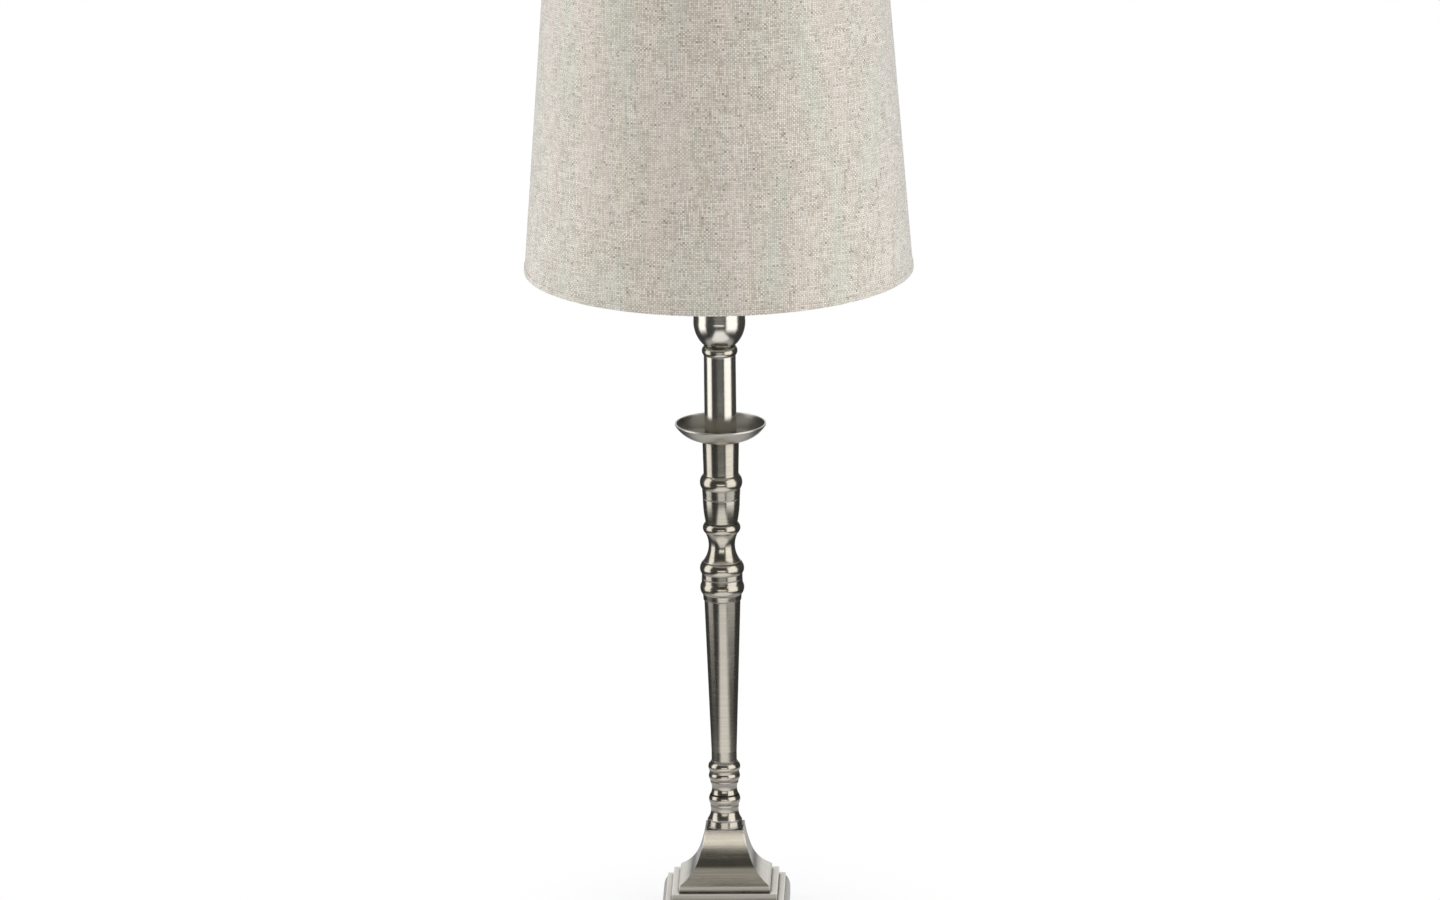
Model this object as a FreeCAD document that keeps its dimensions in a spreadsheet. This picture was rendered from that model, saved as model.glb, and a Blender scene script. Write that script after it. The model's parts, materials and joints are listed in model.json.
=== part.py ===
import FreeCAD, Part
import math
import os
import re
import Sketcher

# Candlestick lamp, millimetres, +Z up. The origin is the middle of the felt's underside, where the
# lamp stands; +Y is the back, where the cord inlet is. The column is a stack of turned rings and
# tubes, clamped on one hollow rod between the nut in the base and the nut in the lampholder's cup.

# Driving dimensions. Heights of the stack are each piece's own height.
SIZES = {
    # base casting: square, stepped plinth under a concave pyramid
    "base_width": 98.0,
    "felt_thickness": 2.0,
    "felt_stand": 1.0,          # the felt stands this far below the casting's rim
    "felt_margin": 1.4,
    "rim_width": 3.0,
    "plinth_face": 5.6,
    "ovolo_rise": 9.9,
    "ovolo_swell": 0.9,
    "quirk_rise": 2.4,
    "plinth_inset": 3.2,
    "middle_inset": 5.0,
    "middle_riser": 6.0,
    "upper_inset": 5.4,
    "upper_riser": 4.2,
    "pyramid_quirk": 0.6,
    "throat_rise": 17.9,
    "throat_hollow": 2.0,       # each hollow is the sagitta of its arc
    "throat_width": 40.2,
    "neck_rise": 21.7,
    "neck_hollow": 0.64,
    "block_top_width": 30.0,
    "casting_wall": 3.5,
    "deck_thickness": 8.0,
    # base cover, its screws and posts, the ballast
    "cover_thickness": 2.0,
    "cover_gap": 0.4,
    "post_inset": 13.0,
    "post_radius": 4.0,
    "screw_radius": 1.9,
    "screw_head_radius": 3.6,
    "screw_length": 12.0,
    "screw_slot_length": 5.6,
    "screw_slot_width": 1.0,
    "screw_slot_depth": 0.9,
    "screw_gap": 0.1,
    "ballast_gap": 3.3,
    "ballast_height": 12.0,
    "ballast_corner": 14.0,
    "ballast_slot_width": 34.0,
    "ballast_slot_start": 9.0,
    # cord inlet at the back
    "inlet_height": 11.2,
    "inlet_bore": 3.6,
    "bushing_barrel_radius": 4.8,
    "bushing_flange_radius": 6.4,
    "bushing_flange": 1.8,
    "bushing_length": 8.6,
    "spot_depth": 4.0,
    "fit_gap": 0.1,
    # terminal block on the cover
    "block_width": 28.0,
    "block_depth": 13.0,
    "block_height": 11.0,
    "block_gap": 12.3,          # behind the block, in front of the casting's back wall
    "pole_pitch": 8.5,
    "pole_height": 4.4,
    "pole_hole_radius": 1.3,
    "terminal_screw_radius": 1.5,
    "terminal_screw_length": 4.5,
    "terminal_screw_pitch": 6.5,
    "terminal_screw_sink": 0.75,
    # rod and its hardware
    "rod_radius": 5.0,
    "rod_wall": 1.2,
    "rod_clearance": 0.25,
    "rod_tail": 3.0,
    "washer_radius": 9.0,
    "washer_thickness": 1.5,
    "tag_thickness": 0.8,
    "tag_length": 9.0,
    "tag_width": 4.0,
    "lock_washer_radius": 8.2,
    "lock_washer_thickness": 1.4,
    "nut_flats": 14.0,
    "nut_height": 5.0,
    # foot ring and flared foot
    "foot_radius": 14.2,
    "foot_height": 5.7,
    "flare_radius": 13.3,
    "flare_height": 10.3,
    "flare_neck_radius": 11.0,
    "flare_hollow": 1.2,
    # lower knop
    "knop_fillet_radius": 11.0,
    "knop_fillet": 1.9,
    "knop_bead": 7.7,
    "knop_swell": 1.15,
    "knop_waist": 9.8,
    "knop_hollow": 1.25,
    "knop_neck_radius": 10.9,
    # double bead
    "double_fillet": 1.5,
    "double_low_bead": 5.8,
    "double_low_swell": 0.9,
    "double_band_radius": 11.5,
    "double_band": 2.1,
    "double_high_bead": 7.2,
    "double_high_swell": 1.5,
    "double_top_radius": 10.2,
    "double_crown": 0.4,
    # tapered column
    "column_foot_radius": 9.78,
    "column_straight": 8.0,
    "column_taper": 121.3,
    "column_top_radius": 14.05,
    "column_wall": 3.0,
    "column_land": 7.0,
    # lower and upper collars
    "collar_foot_radius": 14.7,
    "collar_fillet": 4.2,
    "collar_fillet_radius": 15.05,
    "collar_bead": 9.4,
    "collar_bead_top_radius": 16.0,
    "collar_swell": 1.55,
    "collar_band_radius": 15.8,
    "collar_band": 3.1,
    "upper_band": 4.0,
    "upper_bead": 9.7,
    "upper_swell": 1.8,
    "upper_top_radius": 14.8,
    # waisted baluster and the vase above it
    "waist_radius": 10.2,
    "waist_low": 12.7,
    "waist_low_hollow": 1.13,
    "waist_high": 9.9,
    "waist_high_hollow": 0.61,
    "waist_top_radius": 12.6,
    "waist_bead": 8.4,
    "waist_swell": 2.0,
    "vase_foot_radius": 12.35,
    "vase_rise": 19.5,
    "vase_top_radius": 14.4,
    "vase_swell": 0.5,
    # candle socket
    "socket_band": 7.6,
    "socket_band_radius": 14.9,
    "socket_bead": 11.3,
    "socket_swell": 2.05,
    "socket_bead_top_radius": 13.9,
    "socket_foot_radius": 13.6,
    "socket_quirk": 1.0,
    "socket_wall_rise": 26.7,
    "socket_top_radius": 14.25,
    "socket_floor": 10.0,
    "socket_wall": 2.0,
    # drip pan
    "pan_foot_radius": 15.0,
    "pan_rim_radius": 35.3,
    "pan_rim_height": 13.0,
    "pan_lip": 0.9,
    "pan_lip_width": 1.2,
    "pan_swell": 3.0,
    "pan_floor": 2.4,
    "pan_inner_radius": 16.0,
    "spigot_height": 4.0,
    "spigot_gap": 0.1,
    # candle tube and the bead on it
    "tube_radius": 12.4,
    "tube_wall": 1.2,
    "tube_height": 65.3,
    "tube_bead_foot_radius": 12.7,
    "tube_bead": 7.0,
    "tube_bead_swell": 1.45,
    "tube_bead_top_radius": 12.1,
    "tube_bead_crown": 0.5,
    # lampholder cup
    "cup_foot_radius": 11.9,
    "cup_radius": 20.1,
    "cup_bowl": 20.8,
    "cup_swell": 2.6,
    "cup_straight": 19.8,
    "cup_wall": 1.1,
    "cup_floor": 1.2,
    # lampholder
    "holder_foot_radius": 13.0,
    "holder_foot_rise": 8.0,
    "holder_base_radius": 17.6,
    "holder_base_height": 28.0,
    "holder_base_wall": 2.0,
    "holder_base_floor": 3.4,
    "holder_hub_radius": 8.0,
    "holder_hub_height": 7.4,
    "carrier_radius": 15.2,
    "carrier_height": 10.0,
    "carrier_drop": 6.0,
    "holder_collar_gap": 0.5,
    "holder_flange": 3.6,
    "holder_flange_radius": 21.0,
    "skirt_radius": 19.5,
    "skirt_wall": 3.4,
    "skirt_height": 37.0,
    "skirt_mouth_radius": 15.2,
    "skirt_lip": 4.0,
    "shell_radius": 14.0,
    "shell_wall": 0.5,
    "shell_floor_radius": 11.0,
    "shell_start": 2.0,
    "shell_height": 30.0,
    "centre_contact_radius": 3.0,
    "centre_contact_height": 4.0,
    "rivet_radius": 1.5,
    "contact_screw_radius": 2.6,
    "contact_screw_height": 2.6,
    "contact_screw_offset": 9.5,
    "tongue_width": 5.0,
    "tongue_thickness": 1.0,
    # shade rings and the fitter ring between them
    "fitter_height": 9.7,       # underside of the fitter ring, above the shade's lower edge
    "fitter_thickness": 2.0,
    "fitter_hole_radius": 20.3,
    "fitter_radius": 31.0,
    "ring_gap": 0.3,
    "ring_thread_gap": 0.2,
    "ring_hub_radius": 22.0,
    "ring_hub_height": 4.4,
    "ring_flange_radius": 26.0,
    "ring_flange": 1.7,
    "ring_notch_radius": 1.6,
    # shade
    "shade_bottom": 515.0,
    "shade_bottom_radius": 150.0,
    "shade_top_radius": 130.2,
    "shade_height": 270.0,
    "fabric_thickness": 0.6,
    "liner_thickness": 0.5,
    "wire_radius": 1.75,
    "wire_gap": 0.3,
    "wire_rise": 1.85,
    "hem_height": 3.8,
    "hem_thickness": 0.5,
    "arm_radius": 1.5,
    # bulb
    "contact_gap": 0.3,
    "bulb_contact_radius": 4.8,
    "bulb_contact_height": 1.5,
    "insulator_top_radius": 11.0,
    "insulator_height": 3.6,
    "cap_radius": 13.1,
    "cap_wall": 0.4,
    "cap_taper": 3.0,
    "cap_height": 22.0,
    "glass_neck_radius": 12.45,
    "glass_neck_depth": 4.5,
    "glass_shoulder_radius": 14.0,
    "glass_shoulder_rise": 6.0,
    "glass_wall": 0.8,
    "glass_radius": 30.0,
    "glass_join_radius": 23.0,
    "glass_rise": 47.0,         # from the cap's edge to the middle of the ball
    "glass_hollow": 2.2,
    "stem_foot": 1.5,
    "stem_flare": 8.0,
    "stem_radius": 2.6,
    "stem_height": 22.0,
    "frame_wire_radius": 0.45,
    "frame_low_radius": 5.5,
    "frame_high_radius": 8.5,
    "filament_radius": 0.9,
    "filament_rise": 34.0,
    "filament_gap": 0.9,        # from a cross wire's middle to the end of its filament
    # inner leads
    "lead_radius": 0.9,
    "lead_offset": 1.6,
    "lead_entry": 1.8,          # reach of a lead into its pole
    "lead_run": 12.0,           # straight run of a lead out of the block
    "lead_bend": 2.0,           # height of the first bend above the rod
}

# Heights and half-widths that follow from the dimensions above.
LEVELS = {
    "cover_bottom": "felt_thickness",
    "cover_top": "cover_bottom + cover_thickness",
    "plinth_face_top": "felt_stand + plinth_face",
    "ovolo_top": "plinth_face_top + ovolo_rise",
    "plinth_top": "ovolo_top + quirk_rise",
    "middle_top": "plinth_top + middle_riser",
    "upper_top": "middle_top + upper_riser",
    "slope_foot": "upper_top + pyramid_quirk",
    "throat_top": "slope_foot + throat_rise",
    "block_top": "throat_top + neck_rise",
    "base_half": "base_width / 2",
    "plinth_half": "base_half - plinth_inset",
    "middle_half": "plinth_half - middle_inset",
    "upper_half": "middle_half - upper_inset",
    "cavity_half": "plinth_half - casting_wall",
    "cover_half": "base_half - rim_width - cover_gap",
    "block_start": "cavity_half - block_gap - block_depth",
    "post_place": "base_half - post_inset",
    "rod_hole": "rod_radius + rod_clearance",
    "rod_bore": "rod_radius - rod_wall",
    "deck_underside": "block_top - deck_thickness",
    "tag_top": "deck_underside - washer_thickness",
    "lock_washer_top": "tag_top - tag_thickness",
    "nut_top": "lock_washer_top - lock_washer_thickness",
    "rod_bottom": "nut_top - nut_height - rod_tail",
    "foot_seat": "block_top",
    "flare_seat": "foot_seat + foot_height",
    "knop_seat": "flare_seat + flare_height",
    "knop_waist_height": "knop_fillet + knop_bead + knop_waist",
    "double_seat": "knop_seat + knop_waist_height",
    "double_band_foot": "double_fillet + double_low_bead",
    "double_high_foot": "double_band_foot + double_band",
    "double_shoulder": "double_high_foot + double_high_bead",
    "column_seat": "double_seat + double_shoulder + double_crown",
    "column_height": "column_straight + column_taper",
    "collar_seat": "column_seat + column_height",
    "collar_band_foot": "collar_fillet + collar_bead",
    "collar_height": "collar_band_foot + collar_band",
    "upper_collar_seat": "collar_seat + collar_height",
    "upper_collar_height": "upper_band + upper_bead",
    "waist_seat": "upper_collar_seat + upper_collar_height",
    "waist_bead_foot": "waist_low + waist_high",
    "waist_height": "waist_bead_foot + waist_bead",
    "vase_seat": "waist_seat + waist_height",
    "socket_seat": "vase_seat + vase_rise",
    "socket_bead_top": "socket_band + socket_bead",
    "socket_wall_foot": "socket_bead_top + socket_quirk",
    "socket_height": "socket_wall_foot + socket_wall_rise",
    "pan_seat": "socket_seat + socket_height",
    "tube_seat": "pan_seat + pan_floor",
    "tube_bore": "tube_radius - tube_wall",
    "tube_bead_seat": "tube_seat + tube_height",
    "cup_seat": "tube_bead_seat + tube_bead + tube_bead_crown",
    "cup_height": "cup_bowl + cup_straight",
    "cup_washer_seat": "cup_seat + cup_floor",
    "cup_nut_seat": "cup_washer_seat + washer_thickness",
    "holder_seat": "cup_nut_seat + nut_height",
    "rod_top": "holder_seat + holder_hub_height",
    "carrier_seat": "holder_seat + holder_base_height - carrier_drop",
    "carrier_top": "carrier_seat + carrier_height",
    "skirt_seat": "holder_seat + holder_base_height",
    "skirt_collar": "cup_seat + cup_height - skirt_seat + holder_collar_gap",
    "skirt_thread_foot": "skirt_collar + holder_flange",
    "skirt_top": "skirt_thread_foot + skirt_height",
    "shell_seat": "carrier_top + shell_start",
    "fitter_seat": "shade_bottom + fitter_height",
    "lower_ring_top": "fitter_seat - ring_gap",
    "upper_ring_seat": "fitter_seat + fitter_thickness + ring_gap",
    "shade_slope": "(shade_bottom_radius - shade_top_radius) / shade_height",
    "liner_bottom": "shade_bottom_radius - fabric_thickness",
    "liner_top": "shade_top_radius - fabric_thickness",
    "bottom_wire_ring": "liner_bottom - liner_thickness - wire_gap - wire_radius",
    "top_wire_ring": "liner_top - liner_thickness - wire_gap - wire_radius",
    "bulb_seat": "carrier_top + centre_contact_height + contact_gap",
    "insulator_seat": "bulb_seat + bulb_contact_height",
    "cap_seat": "insulator_seat + insulator_height",
    "cap_top": "cap_seat + cap_height",
    "glass_seat": "cap_top - glass_neck_depth",
    "glass_centre": "glass_neck_depth + glass_rise",
    "glass_join": "glass_centre - sqrt(glass_radius ^ 2 - glass_join_radius ^ 2)",
    "stem_seat": "glass_seat",
    "frame_low": "stem_seat + stem_height + frame_wire_radius",
    "frame_high": "frame_low + filament_rise",
}

doc = FreeCAD.newDocument("candlestick_lamp")
sizes = doc.addObject("Spreadsheet::Sheet", "Sizes")
for row, (name, size) in enumerate(SIZES.items(), 1):
    sizes.set(f"A{row}", name)
    sizes.set(f"B{row}", str(size))
    sizes.setAlias(f"B{row}", name)
levels = doc.addObject("App::VarSet", "Levels")


def bound(text):
    """Lead each plain name in an expression with the object that holds it."""
    def lead(word):
        if word[0] in SIZES:
            return "Sizes." + word[0]
        return "Levels." + word[0] if word[0] in LEVELS else word[0]
    return re.sub(r"[A-Za-z_]\w*", lead, text)


for name, rule in LEVELS.items():
    levels.addProperty("App::PropertyFloat", name, "Levels")
    levels.setExpression(name, bound(rule))
doc.recompute()

pieces = []


def size(text):
    """The present value of an expression, in millimetres."""
    return float(levels.evalExpression(bound(text)))


def bind(thing, **rules):
    for name, rule in rules.items():
        thing.setExpression(name, bound(rule))
    return thing


def place(thing, x="0", y="0", z="0", turn=None):
    """Set a piece down by expressions, turned about the origin's X axis first if a turn is given."""
    if turn is not None:
        thing.Placement = FreeCAD.Placement(FreeCAD.Vector(), FreeCAD.Rotation(FreeCAD.Vector(1, 0, 0), turn))
    for axis, rule in zip("xyz", (x, y, z)):
        thing.setExpression("Placement.Base." + axis, bound(rule))
    return thing


def piece(thing):
    """Count an object as one of the lamp's pieces, which its Label names."""
    pieces.append(thing)
    return thing


def draw(sketch, corners):
    """Close an outline through corners (across, up) or (across, up, swell), counter-clockwise.

    The edge that leaves a corner with a swell is an arc that stands that far out to the right of its
    chord, or to the left where the swell is negative.
    """
    edges = []
    for index, corner in enumerate(corners):
        following = corners[(index + 1) % len(corners)]
        start = FreeCAD.Vector(size(corner[0]), size(corner[1]), 0)
        end = FreeCAD.Vector(size(following[0]), size(following[1]), 0)
        if len(corner) == 2:
            edges.append((sketch.addGeometry(Part.LineSegment(start, end), False), 1, 2))
            continue
        chord = end - start
        right = FreeCAD.Vector(chord.y, -chord.x, 0).normalize()
        middle = (start + end) / 2 + right * size(corner[2])
        if size(corner[2]) > 0:
            edges.append((sketch.addGeometry(Part.Arc(start, middle, end), False), 1, 2))
        else:
            edges.append((sketch.addGeometry(Part.Arc(end, middle, start), False), 2, 1))
    for (edge, _, last), (following, first, _) in zip(edges, edges[1:] + edges[:1]):
        sketch.addConstraint(Sketcher.Constraint("Coincident", edge, last, following, first))
    for index, (corner, (edge, first, _)) in enumerate(zip(corners, edges)):
        for kind, rule in (("DistanceX", corner[0]), ("DistanceY", corner[1])):
            number = sketch.addConstraint(Sketcher.Constraint(kind, -1, 1, edge, first, size(rule)))
            sketch.setExpression(f"Constraints[{number}]", bound(rule))
        if len(corner) == 3:
            following = corners[(index + 1) % len(corners)]
            chord = " + ".join(f"(({a}) - ({b})) ^ 2" for a, b in zip(following[:2], corner[:2]))
            rule = f"(({chord}) / 4 + ({corner[2]}) ^ 2) / (2 * abs({corner[2]}))"
            number = sketch.addConstraint(Sketcher.Constraint("Radius", edge, size(rule)))
            sketch.setExpression(f"Constraints[{number}]", bound(rule))


def new_sketch(body, name, plane):
    """Add a sketch on one of the body's own origin planes."""
    sketch = body.newObject("Sketcher::SketchObject", name)
    sketch.AttachmentSupport = ([f for f in body.Origin.OriginFeatures if f.Role == plane][0], [""])
    sketch.MapMode = "FlatFace"
    return sketch


def turned(name, seat, corners):
    """A piece turned on a lathe: its half outline spun about the lamp's axis, standing at its seat."""
    body = place(doc.addObject("PartDesign::Body", name), z=seat)
    sketch = new_sketch(body, name + "_outline", "XZ_Plane")
    draw(sketch, corners)
    spin = body.newObject("PartDesign::Revolution", name + "_turning")
    spin.Profile = sketch
    spin.ReferenceAxis = (sketch, ["V_Axis"])
    spin.Angle = 360
    return body


def plate(name, corners, height, x="0", y="0", z="0"):
    """A flat piece: an outline seen from above, and its height."""
    body = place(doc.addObject("PartDesign::Body", name), x, y, z)
    sketch = new_sketch(body, name + "_outline", "XY_Plane")
    draw(sketch, corners)
    pad = body.newObject("PartDesign::Pad", name + "_pad")
    pad.Profile = sketch
    bind(pad, Length=height)
    return body


def square_tower(name, corners):
    """A square solid with the same side outline from the front and from the side.

    The corners run up the right side. The front outline is padded, and all that lies outside the side
    outline is cut off it.
    """
    widths = [size(corner[0]) for corner in corners]
    widest = corners[widths.index(max(widths))][0]
    lowest, highest = corners[0][1], corners[-1][1]
    left = []
    for index in range(len(corners) - 1, -1, -1):
        swell = corners[index - 1][2:] if index else ()
        left.append((f"-({corners[index][0]})", corners[index][1], *swell))
    body = doc.addObject("PartDesign::Body", name)
    front = new_sketch(body, name + "_front", "XZ_Plane")
    draw(front, corners + left)
    pad = body.newObject("PartDesign::Pad", name + "_pad")
    pad.Profile = front
    pad.SideType = "Symmetric"
    bind(pad, Length=f"2 * ({widest})")
    side = new_sketch(body, name + "_side", "YZ_Plane")
    draw(side, corners + left)
    far, low, high = f"2 * ({widest})", f"{lowest} - ({widest})", f"{highest} + ({widest})"
    draw(side, [(f"-({far})", low), (far, low), (far, high), (f"-({far})", high)])
    trim = body.newObject("PartDesign::Pocket", name + "_trim")
    trim.Profile = side
    trim.SideType = "Symmetric"
    bind(trim, Length=f"3 * ({widest})")
    return body


def cylinder(name, radius, height, x="0", y="0", z="0", turn=None):
    return place(bind(doc.addObject("Part::Cylinder", name), Radius=radius, Height=height), x, y, z, turn)


def cone(name, low_radius, high_radius, height, x="0", y="0", z="0"):
    thing = bind(doc.addObject("Part::Cone", name), Radius1=low_radius, Radius2=high_radius, Height=height)
    return place(thing, x, y, z)


def box(name, width, depth, height, x="0", y="0", z="0"):
    """A box centred on x and y, standing at z."""
    thing = bind(doc.addObject("Part::Box", name), Length=width, Width=depth, Height=height)
    return place(thing, f"{x} - ({width}) / 2", f"{y} - ({depth}) / 2", z)


def ring_wire(name, ring_radius, wire_radius, z):
    """A round wire bent into a closed ring."""
    return place(bind(doc.addObject("Part::Torus", name), Radius1=ring_radius, Radius2=wire_radius), z=z)


def prism(name, flats, height, x="0", y="0", z="0", turn=None):
    """A hexagon prism of a given width across its flats."""
    thing = doc.addObject("Part::Prism", name)
    thing.Polygon = 6
    return place(bind(thing, Circumradius=f"({flats}) / sqrt(3)", Height=height), x, y, z, turn)


def fuse(name, *things):
    joined = doc.addObject("Part::MultiFuse", name)
    joined.Shapes = list(things)
    return joined


def cut(name, base, *tools):
    result = doc.addObject("Part::Cut", name)
    result.Base = base
    result.Tool = tools[0] if len(tools) == 1 else fuse(name + "_tools", *tools)
    return result


def group(name, things):
    """Identical separate solids that share one name."""
    together = doc.addObject("Part::Compound", name)
    together.Links = things
    return together


# ---- base casting ----
def base_casting():
    """Hollow casting with four screw posts, the rod's hole in its deck and the cord inlet's spot face."""
    tower = square_tower("casting_outside", [
        ("base_half", "felt_stand"),
        ("base_half", "plinth_face_top", "ovolo_swell"),
        ("plinth_half", "ovolo_top"),
        ("plinth_half", "plinth_top"),
        ("middle_half", "plinth_top"),
        ("middle_half", "middle_top"),
        ("upper_half", "middle_top"),
        ("upper_half", "upper_top"),
        ("upper_half - pyramid_quirk", "upper_top"),
        ("upper_half - pyramid_quirk", "slope_foot", "-throat_hollow"),
        ("throat_width / 2", "throat_top", "-neck_hollow"),
        ("block_top_width / 2", "block_top"),
    ])
    core = square_tower("casting_core", [
        ("cavity_half", "cover_top"),
        ("cavity_half", "plinth_top - casting_wall"),
        ("upper_half - casting_wall", "upper_top - casting_wall"),
        ("throat_width / 2 - casting_wall", "throat_top - casting_wall"),
        ("block_top_width / 2 - casting_wall", "deck_underside"),
    ])
    posts, pilots = [], []
    for number, (across, back) in enumerate(CORNERS, 1):
        spot = {"x": f"{across} * post_place", "y": f"{back} * post_place"}
        posts.append(cylinder(f"casting_post_{number}", "post_radius", "plinth_top + casting_wall - cover_top",
                              z="cover_top", **spot))
        pilots.append(cylinder(f"casting_pilot_{number}", "screw_radius + screw_gap",
                               "screw_length + screw_gap", z="cover_bottom", **spot))
    return cut("base_casting", tower, cut("casting_hollow", core, *posts), *pilots,
               box("casting_recess", "2 * (base_half - rim_width)", "2 * (base_half - rim_width)",
                   "cover_top"),
               cylinder("casting_rod_hole", "rod_hole", "deck_thickness + casting_wall",
                        z="deck_underside - casting_wall / 2"),
               cylinder("casting_inlet_hole", "bushing_barrel_radius + fit_gap", "base_half - cavity_half / 2",
                        y="cavity_half / 2", z="inlet_height", turn=-90),
               cylinder("casting_spot_face", "bushing_flange_radius + fit_gap", "2 * spot_depth",
                        y="base_half - spot_depth", z="inlet_height", turn=-90))


CORNERS = [(1, 1), (-1, 1), (-1, -1), (1, -1)]
piece(base_casting())


# ---- felt, cover and its screws, ballast ----
def square(half):
    return [(f"-({half})", f"-({half})"), (half, f"-({half})"), (half, half), (f"-({half})", half)]


piece(plate("felt_pad", square("cover_half - felt_margin"), "felt_thickness"))


def cover_and_screws():
    """Steel plate in the casting's recess, and four countersunk screws flush with it."""
    holes, screws = [], []
    sink = "(screw_head_radius - screw_radius)"
    for number, (across, back) in enumerate(CORNERS, 1):
        spot = {"x": f"{across} * post_place", "y": f"{back} * post_place"}
        holes.append(cylinder(f"cover_hole_{number}", "screw_radius + 2 * screw_gap", "cover_thickness",
                              z="cover_bottom", **spot))
        holes.append(cone(f"cover_sink_{number}", "screw_head_radius + 2 * screw_gap",
                          "screw_radius + 2 * screw_gap", sink, z="cover_bottom", **spot))
        shank = cylinder(f"screw_shank_{number}", "screw_radius", "screw_length", z="cover_bottom", **spot)
        head = cone(f"screw_head_{number}", "screw_head_radius", "screw_radius", sink, z="cover_bottom", **spot)
        slot = box(f"screw_slot_{number}", "screw_slot_length", "screw_slot_width", "screw_slot_depth",
                   z="cover_bottom", **spot)
        screws.append(cut(f"cover_screw_{number}", fuse(f"screw_blank_{number}", shank, head), slot))
    sheet = box("cover_sheet", "2 * cover_half", "2 * cover_half", "cover_thickness", z="cover_bottom")
    return cut("base_cover", sheet, *holes), group("cover_screws", screws)


for made in cover_and_screws():
    piece(made)

ballast_half = "(cavity_half - ballast_gap)"
ballast_flat = f"({ballast_half} - ballast_corner)"
slot_half = "ballast_slot_width / 2"
piece(plate("ballast_weight", [
    (f"-{ballast_flat}", f"-{ballast_half}"), (ballast_flat, f"-{ballast_half}"),
    (ballast_half, f"-{ballast_flat}"), (ballast_half, ballast_flat),
    (ballast_flat, ballast_half), (slot_half, ballast_half),
    (slot_half, "-ballast_slot_start"), (f"-{slot_half}", "-ballast_slot_start"),
    (f"-{slot_half}", ballast_half), (f"-{ballast_flat}", ballast_half),
    (f"-{ballast_half}", ballast_flat), (f"-{ballast_half}", f"-{ballast_flat}"),
], "ballast_height", z="cover_top"))


# ---- cord inlet ----
def inlet():
    """Flanged bushing pressed into the back wall, its flange in the spot face."""
    seat = "base_half - spot_depth"
    barrel = "(bushing_length - bushing_flange)"
    along = {"z": "inlet_height", "turn": -90}
    blank = fuse("bushing_blank",
                 cylinder("bushing_flange_disc", "bushing_flange_radius", "bushing_flange", y=seat, **along),
                 cylinder("bushing_barrel", "bushing_barrel_radius", barrel, y=f"{seat} - {barrel}", **along))
    return cut("cord_bushing", blank, cylinder("bushing_bore", "inlet_bore", "bushing_length",
                                               y=f"{seat} - {barrel}", **along))


piece(inlet())


# ---- terminal block ----
POLES = (-1, 0, 1)


def terminals():
    """Three-pole block on the cover, with two clamping screws to each pole."""
    body = box("terminal_body", "block_width", "block_depth", "block_height",
               y="block_start + block_depth / 2", z="cover_top")
    holes, screws = [], []
    top = "cover_top + block_height"
    for pole in POLES:
        across = f"{pole} * pole_pitch"
        holes.append(cylinder(f"pole_hole_{pole + 2}", "pole_hole_radius", "block_depth", x=across,
                              y="block_start", z="cover_top + pole_height", turn=-90))
        for end, side in (("front", -1), ("back", 1)):
            spot = {"x": across, "y": f"block_start + (block_depth + {side} * terminal_screw_pitch) / 2",
                    "z": f"{top} - terminal_screw_length"}
            name = f"{pole + 2}_{end}"
            holes.append(cylinder("screw_well_" + name, "terminal_screw_radius + fit_gap",
                                  "terminal_screw_length", **spot))
            screws.append(cylinder("pole_screw_" + name, "terminal_screw_radius",
                                   "terminal_screw_length - terminal_screw_sink", **spot))
    return cut("terminal_block", body, *holes), group("terminal_screws", screws)


for made in terminals():
    piece(made)


# ---- rod and the hardware that clamps the column to the base ----
def bored(name, blank, bore, height, seat):
    """Cut a round hole through a blank that stands on the lamp's axis."""
    return cut(name, blank, cylinder(name + "_bore", bore, height, z=seat))


def washer(name, radius, thickness, seat):
    return bored(name, cylinder(name + "_disc", radius, thickness, z=seat), "rod_hole", thickness, seat)


def hex_nut(name, seat):
    return bored(name, prism(name + "_blank", "nut_flats", "nut_height", z=seat), "rod_radius + fit_gap",
                 "nut_height", seat)


rod_length = "rod_top - rod_bottom"
piece(bored("threaded_rod", cylinder("rod_bar", "rod_radius", rod_length, z="rod_bottom"),
            "rod_bore", rod_length, "rod_bottom"))
piece(washer("rod_washer", "washer_radius", "washer_thickness", "tag_top"))
tag_disc = fuse("earth_tag_blank",
                cylinder("earth_tag_disc", "washer_radius", "tag_thickness", z="lock_washer_top"),
                box("earth_tag_tail", "tag_width", "tag_thickness", "tag_length",
                    y="tag_thickness / 2 - washer_radius", z="tag_top - tag_length"))
piece(bored("earth_tag", tag_disc, "rod_hole", "tag_thickness", "lock_washer_top"))
piece(washer("rod_lock_washer", "lock_washer_radius", "lock_washer_thickness", "nut_top"))
piece(hex_nut("rod_nut", "nut_top - nut_height"))

# ---- column, from the base up ----
piece(turned("foot_ring", "foot_seat", [
    ("rod_hole", "0"), ("foot_radius", "0"), ("flare_radius", "foot_height"), ("rod_hole", "foot_height")]))

piece(turned("flared_foot", "flare_seat", [
    ("rod_hole", "0"), ("flare_radius", "0", "-flare_hollow"),
    ("flare_neck_radius", "flare_height"), ("rod_hole", "flare_height")]))

piece(turned("lower_knop", "knop_seat", [
    ("rod_hole", "0"), ("knop_fillet_radius", "0"),
    ("knop_fillet_radius", "knop_fillet", "knop_swell"),
    ("knop_fillet_radius", "knop_fillet + knop_bead", "-knop_hollow"),
    ("knop_neck_radius", "knop_waist_height"), ("rod_hole", "knop_waist_height")]))

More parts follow.
